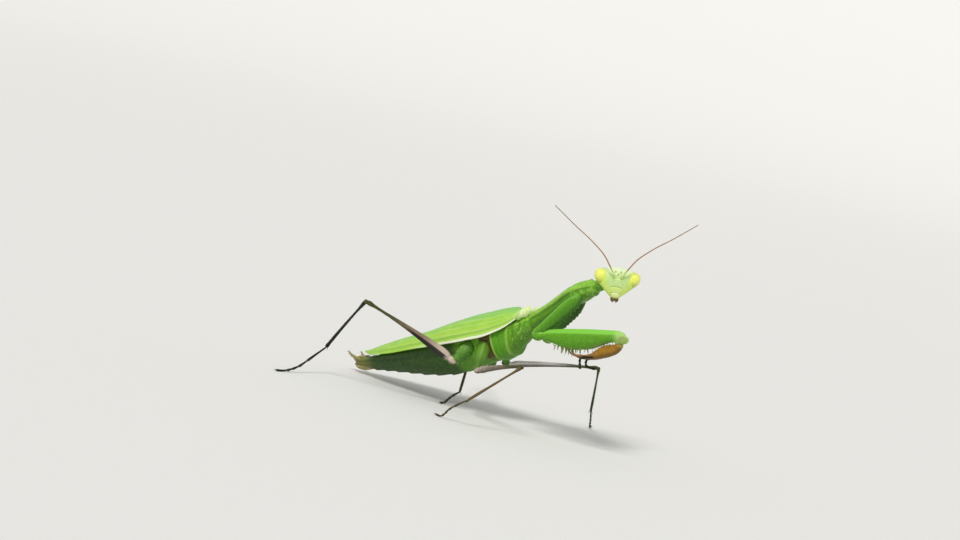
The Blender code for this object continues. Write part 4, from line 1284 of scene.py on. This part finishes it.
# rows of big thorns: how far outward they stand and splay, then (place, length) of each
BIG_THORNS = ((0.52, 0.4, ((0.24, 0.6), (0.33, 0.85), (0.42, 0.95), (0.52, 0.75))),
              (0.12, 0.05, ((0.26, 0.5), (0.3, 0.9), (0.345, 1.1), (0.39, 0.6))))
SMALL_THORNS, SMALL_LONG, SMALL_SHORT = 14, 0.7, 0.35
BLADE_THORNS = ((1, 9, 0.6), (-1, 12, 0.55))    # side, how many, length
FOOT_BACK = 1.9


def three_sided(t, a):
    """Cone section drawn towards a triangle, with a row of small bumps on its front edge."""
    teeth = 0.16 * np.maximum(0, np.sin(t * 2 * np.pi * 13)) ** 2 * hump(np.sin(a), -1, 0.06)
    keel = 0.1 * hump(np.sin(a), 0.55, 0.09) - 0.06 * hump(np.sin(a), 0.3, 0.1)
    return (0.13 * np.cos(3 * a - np.pi / 2) + teeth + keel) * window(t, 0.05, 0.15, 0.87, 0.97)


def grooved(t, a):
    """Egg section, narrow above, with a groove underneath and a fine keel on top."""
    up = np.sin(a)
    groove = window(t, 0.12, 0.25, 0.9, 1.0)
    return (groove * (0.1 * hump(up, -0.8, 0.1) - 0.3 * hump(up, -1, 0.07))
            - 0.12 * fade(0.1, 0.8, up) + 0.14 * hump(up, 1.0, 0.035)
            + 0.05 * hump(up, 0.1, 0.25) * fade(0.1, 0.3, t))


def knife_back(t, a):
    """A groove along the upper side of the blade, where it meets the thigh."""
    return -0.1 * hump(np.sin(a), 1, 0.08) * window(t, 0.05, 0.15, 0.5, 0.6)


print("the fore thigh is", max(u + d for _, _, u, d in FORE_THIGH), "mm deep at most")

# %% [markdown]
# ### Finishes of the grasping legs
# The thigh is the brightest green on the animal, with a pale line along its lower edge; painted
# light makes it lighter along its upper edge, painted shade darker underneath, and a painted
# reflection gives it a milky knee. The blade is orange-brown, darker on its lower side with
# painted shade. Cones carry dark specks over painted shade on their lower edge, are painted
# lighter on top, and carry on their inner face the black spot by which this species is known.
# The spot could be a thin disc laid on the cone, but it is a stain in the shell, so it is a mask.

# %% Grasping leg finishes
fore = Finish("fore_green_skin", Roughness=0.42, Subsurface_Weight=0.1,
              Subsurface_Radius=(0.5, 1.0, 0.2), Specular_IOR_Level=0.35)
along, high, cone = fore.mark("along"), fore.mark("high"), fore.mark("cone")
grain, fine = fore.noise(2.4, 4.0, 0.6), fore.noise(10.0, 3.0, 0.6)
speck = fore.noise(5.0, 3.0, 0.65).rise(0.5, 0.6)
not_cone = 1.0 - cone
coat = fore.layers(
    fore.patches(grain, (82, 146, 10), (100, 166, 24)),
    # painted light: lighter along the upper side, half as much on the cone
    (high.rise(0.25, 0.6) * (1.0 - cone * 0.5) * 0.8, (140, 216, 78)),
    # painted shade: darker underneath
    (high.rise(-0.35, -0.7) * 0.4, (66, 118, 16)),
    (high.rise(-0.78, -0.95) * not_cone * 0.7, (176, 204, 96)),
    (speck * high.rise(0.1, -0.4) * 0.3, (54, 104, 16)),
    # painted reflection: the milky knee
    (along.rise(0.83, 0.93) * not_cone * 0.8, (172, 208, 118)),
    (fore.mark("spot") * 0.8, (116, 84, 34)),
    # the cone's own green, with painted light making it lighter on top
    (cone * 0.4, fore.mix(high.rise(-0.2, 0.7), (66, 122, 22), (96, 158, 36))),
    # dark specks over painted shade along the cone's lower edge
    (cone * high.rise(-0.5, -0.9) * (0.35 + speck * 0.6), (28, 54, 16)),
    (fore.mark("black") * 0.95, (22, 22, 20)),
    (fore.mark("white"), (226, 226, 200)),
    (fore.mark("spine") * 0.7, (128, 122, 52)),
    (fore.mark("tip") * 0.85, (44, 30, 12)))
granule = fore.cells(6.0).rise(0.45, 0.1)
fore_finish = fore.wear(coat, 0.36 + grain * 0.2, grain * 0.6 + fine * 0.4 + granule * 0.3)

blade = Finish("blade_orange", Roughness=0.38, Specular_IOR_Level=0.4)
along, high = blade.mark("along"), blade.mark("high")
grain = blade.noise(3.0, 4.0, 0.6)
coat = blade.layers(
    blade.patches(grain, (138, 96, 10), (168, 124, 22)),
    (along.rise(0.42, 0.62) * 0.8, (150, 100, 70)),
    # painted shade: darker on the lower side
    (high.rise(0.3, -0.6) * 0.7, (92, 66, 8)),
    (along.rise(0.1, 0.0) * 0.6, (180, 190, 96)),
    (along.rise(0.85, 1.0) * 0.85, (46, 24, 12)),
    (blade.mark("tip") * 0.9, (30, 18, 10)))
blade_finish = blade.wear(coat, 0.3 + grain * 0.2, grain + blade.noise(11.0) * 0.4, 0.025)

# %% [markdown]
# ### Building the two grasping legs
# Each row of thorns walks along its piece and sets a thorn square to it. An Array modifier could
# set a row, but all of one length, and here long and short thorns take turns. Outward is the side
# away from the other leg. The blade lies under the thigh with its edge and thorns turned up.

# %% Thorned thigh


def thorn(start, end, half, along, bend=STRAIGHT):
    """Thorn whose last third is marked as its dark tip."""
    tip = fade(0.55, 0.85, np.linspace(0, 1, 9))[:, None]
    return (spine(start, end, half, bend, count=8, rows=9),
            {"along": along, "spine": 1.0, "tip": tip})


def fore_thigh_shells(hip_at, knee, s):
    """Deep grooved thigh, its ring and knee flaps, two rows of big thorns and one of small."""
    axes = along, side, up = leg_axes(hip_at, knee)
    outer = side * s
    grid, marks = limb(hip_at + along * 0.9, knee, FORE_THIGH, 130, 72, relief=grooved, square=0.94)
    marks["spot"] = (hump(marks["along"], 0.955, 0.02) * hump(marks["high"], -0.15, 0.3)
                     * fade(-0.2, 0.2, marks["out"] * s))
    ring, ring_marks = limb(hip_at - along * 0.3, hip_at + along * 1.5, FORE_RING, 30, 32)
    shells = [(grid, marks), (ring, {**ring_marks, "along": 0.3})]
    flaps = knee_flaps(knee, axes, 0.55, 0.45, 0.32, (0.75, 0.24, 0.62), 20)
    shells += [(flap, {"along": 0.95, "spot": 0.45 * (flap_side == s)})
               for flap_side, flap in zip((-1, 1), flaps)]
    for offset, splay, row in BIG_THORNS:
        for t, long in row:
            at = bowed(hip_at, knee, t)[0] + outer * offset - up * (curve(FORE_THIGH, t, 3) - 0.3)
            tip = at - up * (long + 0.2) + outer * splay - along * 0.12
            shells.append(thorn(at, tip, 0.13, 0.3, along * 0.1))
    for k, t in enumerate(np.linspace(0.2, 0.84, SMALL_THORNS)):
        at = bowed(hip_at, knee, t)[0] - outer * 0.42 - up * (curve(FORE_THIGH, t, 3) - 0.22)
        tip = at - up * (SMALL_LONG if k % 2 else SMALL_SHORT) - outer * 0.12 - along * 0.1
        shells.append(thorn(at, tip, 0.08, 0.3))
    return shells


print("thorns under a fore thigh:", SMALL_THORNS + sum(len(row) for _, _, row in BIG_THORNS))

# %% Folded blade


def blade_path(knee, axes, outer):
    """From its hinge under the knee back below the thigh, then the straight hook; and its bend."""
    along, _, up = axes
    hinge = knee - along * 0.9 - up * 1.2
    bend = hinge - along * 4.6 - up * 1.7 - outer * 0.1
    path = soften([hinge + along * 0.3 + up * 0.4, hinge - along * 0.7 - up * 0.5,
                   hinge + (bend - hinge) * 0.6 - up * 0.15, bend, bend - along * 1.9 - up * 0.08,
                   bend - along * 3.4 + up * 0.2, bend - along * 4.3 + up * 0.9], 150)
    return path, bend


def blade_shells(path, axes, outer):
    """The folded blade with a row of thorns along each side of its edge."""
    along, _, up = axes
    t, a = np.linspace(0, 1, len(path)), round_angles(32)
    close = domed(t, 30, 0.02)
    grid = tube(path, *[half * close for half in halves(BLADE, t)], count=32,
                relief=knife_back(t[:, None], a))
    shells = [(grid, {"along": t[:, None], "high": np.sin(a)})]
    for row_side, count, long in BLADE_THORNS:
        for k, p in enumerate(np.linspace(0.14, 0.52, count)):
            at = path[int(p * (len(path) - 1))] + up * (curve(BLADE, p, 2) - 0.2)
            at = at + outer * row_side * 0.24
            reach = long * (0.5 + 0.4 * k / count)
            tip = at + up * reach * 0.75 - along * reach * 0.6 + outer * row_side * 0.12
            shells.append(thorn(at, tip, 0.09, p))
    return shells


print("thorns along a blade:", sum(count for _, count, _ in BLADE_THORNS))

# %% Grasping legs
for side_name, s in SIDES[::-1]:
    key = "fore_" + side_name
    root, hip_at, knee = joints_of(LEGS[key])
    grid, marks = limb(root, hip_at, FORE_CONE, 110, 60, relief=three_sided)
    inward = -s * np.sign(leg_axes(root, hip_at)[1][1])
    spot = hump(marks["along"], 0.2, 0.05) * hump(marks["out"], inward, 0.4)
    marks.update(cone=1.0, black=fade(0.3, 0.55, spot), white=fade(0.86, 0.98, spot) * 0.8)
    leg_piece("cone", key, [(grid, marks)], fore_finish)
    leg_piece("thigh", key, fore_thigh_shells(hip_at, knee, s), fore_finish)
    axes = along, side, up = leg_axes(hip_at, knee)
    outer = side * s
    path, bend = blade_path(knee, axes, outer)
    leg_piece("blade", key, blade_shells(path, axes, outer), blade_finish)
    base, toe = bend + outer * 0.6 - up * 0.25, unit(outer + along * 0.45)
    line = [base + along * 0.3 + up * 0.1, base - along * FOOT_BACK - up * 0.35]
    line += [line[1] - up * down + toe * ahead
             for down, ahead in ((0.6, 0), (0.95, 0.5), (1.15, 1.5))]
    leg_piece("foot", key, foot_shells(soften(line, 60), 0.21, 0.4, pads=False), shin_finish)

# %% [markdown]
# ## The tail
# A female's abdomen ends in a small roof plate, a boat-shaped plate below it that guards the
# egg-laying valves, and two jointed, hairy feelers, the cerci. The plates could be cut from a
# sheet and bent. Short flat tubes that close in a curve are used, because they give the same
# lobes and are closed already.

# %% Tail finish and plates
tail = Finish("tail_brown", Roughness=0.45)
grain = tail.noise(3.0, 4.0, 0.6)
coat = tail.layers(tail.patches(grain, (132, 122, 66), (160, 150, 92)),
                   (tail.mark("joint") * 0.5, (84, 66, 36)),
                   (tail.mark("spine") * 0.6, (70, 54, 30)))
tail_finish = tail.wear(coat, 0.4 + grain * 0.2, grain + tail.noise(11.0) * 0.4, 0.03)
ROOF = ((-21.8, 0, 3.0), (-22.9, 0, 2.75), (-24.0, 0, 2.5))
BOAT = ((-20.4, 0, 1.85), (-22.0, 0, 1.25), (-23.4, 0, 1.1), (-24.3, 0, 1.35))
VALVE = ((-22.8, 0.22, 1.9), (-24.0, 0.2, 1.75), (-24.7, 0.16, 2.0))
p, q = np.linspace(0, 1, 30), np.linspace(0, 1, 36)
roof_close, boat_close = np.sqrt(1.02 - p ** 2), np.sqrt(1.02 - q ** 3)
boat_keel = 0.07 * hump(np.sin(round_angles(24)), -1, 0.1)
plates = [(tube(soften(ROOF, 30), 0.75 * roof_close, 0.3 * roof_close, count=24), {}),
          (tube(soften(BOAT, 36), 0.85 * boat_close * (0.75 + 0.25 * q), 0.45 * boat_close,
                count=24, relief=boat_keel), {})]
for left in (-1, 1):
    valve = tube(soften(mirrored(VALVE, left), 24), np.linspace(0.24, 0.08, 24),
                 np.linspace(0.34, 0.12, 24), count=14)
    plates.append((valve, {"joint": 0.6}))
make_piece("tail_plates", plates, tail_finish)

# %% Cerci
CERCUS = ((-22.6, 0.7, 2.35), (-23.7, 1.15, 2.45), (-24.5, 1.4, 2.75), (-25.1, 1.5, 3.15))
CERCUS_JOINTS, CERCUS_HAIRS, HAIR_TURN = 11, 26, 2.4
t = np.linspace(0, 1, 90)
ring = (t * CERCUS_JOINTS) % 1.0
half = (0.3 - 0.2 * t ** 1.5) * (0.82 + 0.3 * np.sin(ring * np.pi) ** 0.6) * domed(1.01 - t, 20)
seams = (hump(ring, 0, 0.12) + hump(ring, 1, 0.12))[:, None]
for side_name, left in SIDES:
    path = soften(mirrored(CERCUS, left), len(t))
    shells = [(tube(path, half), {"joint": seams})]
    for k in range(CERCUS_HAIRS):
        at, turn = path[12 + k * 3], k * HAIR_TURN
        tip = at + np.array((0.0, math.cos(turn), math.sin(turn))) * 0.55 + (-0.2, 0, 0.05)
        shells.append((spine(at, tip, 0.022, count=4, rows=3), {"spine": 1.0}))
    make_piece("cercus_skin_" + side_name, shells, tail_finish,
               ("cercus_" + side_name,))

# %% [markdown]
# ## Floor, light and camera
# The floor is a shallow pale dish whose rim rises far away. A plain plane would show its edge
# from low down, and the dish has no edge to see from any side. One soft sun high on the left is
# the main light, and an even white sky fills the shadows.
# The camera looks along the leg side from a little above the floor. It is rolled, because the
# animal was turned to set all its feet on a level floor and the camera turned with it.

# %% Floor
FLAT_RADIUS, RIM_RADIUS, FLOOR_COLUMNS = 0.9, 0.9, 96
bend = np.linspace(0.05, 1.4, 24)
radius = np.concatenate([np.linspace(0.02, FLAT_RADIUS, 12),
                         FLAT_RADIUS + RIM_RADIUS * np.sin(bend)])
rise = np.concatenate([np.zeros(12), RIM_RADIUS * (1 - np.cos(bend))])
turns = round_angles(FLOOR_COLUMNS)
rings = np.stack([radius[:, None] * np.cos(turns), radius[:, None] * np.sin(turns),
                  rise[:, None] + 0 * turns], axis=-1)
quads, fans = shell_faces(*rings.shape[:2])
dish = bpy.data.meshes.new("dish")
dish.from_pydata(np.concatenate([rings.reshape(-1, 3), np.zeros((2, 3))]), [],
                 quads.tolist() + fans[:FLOOR_COLUMNS].tolist())
dish.shade_smooth()
floor = place_object("studio_floor", dish)
paper = Finish("floor_paper", Roughness=0.9, Specular_IOR_Level=0.1)
tint = paper.mix(paper.node("ShaderNodeTexNoise", sockets={"Scale": 3.0}),
                 (231.115, 231.115, 228.542), (234.904, 234.904, 232.387))
dish.materials.append(paper.wear(tint))

# %% Light
SUN_FROM, ANIMAL_MIDDLE = np.array((0.17, -0.38, 0.5)), np.array((0, 0, 0.015))
studio = bpy.data.worlds.new("studio")
bpy.context.scene.world = studio
studio.use_nodes = True
sky = studio.node_tree.nodes["Background"]
sky.inputs["Color"].default_value, sky.inputs["Strength"].default_value = (1, 1, 1, 1), 0.5


def matrix_from(axes, place):
    """Four by four matrix from three axes and a place."""
    rows = np.eye(4)
    rows[:3, :3], rows[:3, 3] = np.column_stack(axes), place
    return Matrix(rows.tolist())


sun_light = bpy.data.lights.new("main_light", "SUN")
sun_light.energy, sun_light.color, sun_light.angle = 1.9, (1.0, 0.98, 0.95), 0.28
back = unit(SUN_FROM - ANIMAL_MIDDLE)
across = unit(np.cross(UPWARD, back))
sun = place_object("main_light", sun_light)
sun.matrix_world = matrix_from((across, np.cross(back, across), back), SUN_FROM)
print("the sun stands", round(math.degrees(math.asin(back[2]))), "degrees above the floor")

# %% Camera
CAMERA_AT = (280.96, -313.98, 66.94)
camera_right, camera_up = (0.71039, 0.67008, 0.21526), (-0.22914, -0.06899, 0.97095)
camera_back = (0.66546, -0.73907, 0.10453)
camera_data = bpy.data.cameras.new("camera")
camera_data.lens, camera_data.sensor_width = 100.0, 36.0
camera_data.clip_start, camera_data.clip_end = 0.01, 10.0
camera = place_object("camera", camera_data)
camera.matrix_world = matrix_from((camera_right, camera_up, camera_back), to_frame(CAMERA_AT))
bpy.context.scene.camera = camera
bpy.context.scene.view_settings.view_transform = "Standard"
print("camera is", round(CAMERA_AT[2]), "mm above the floor")

# %% Sizes and the end
print("triangles in all:", sum(triangles.values()))
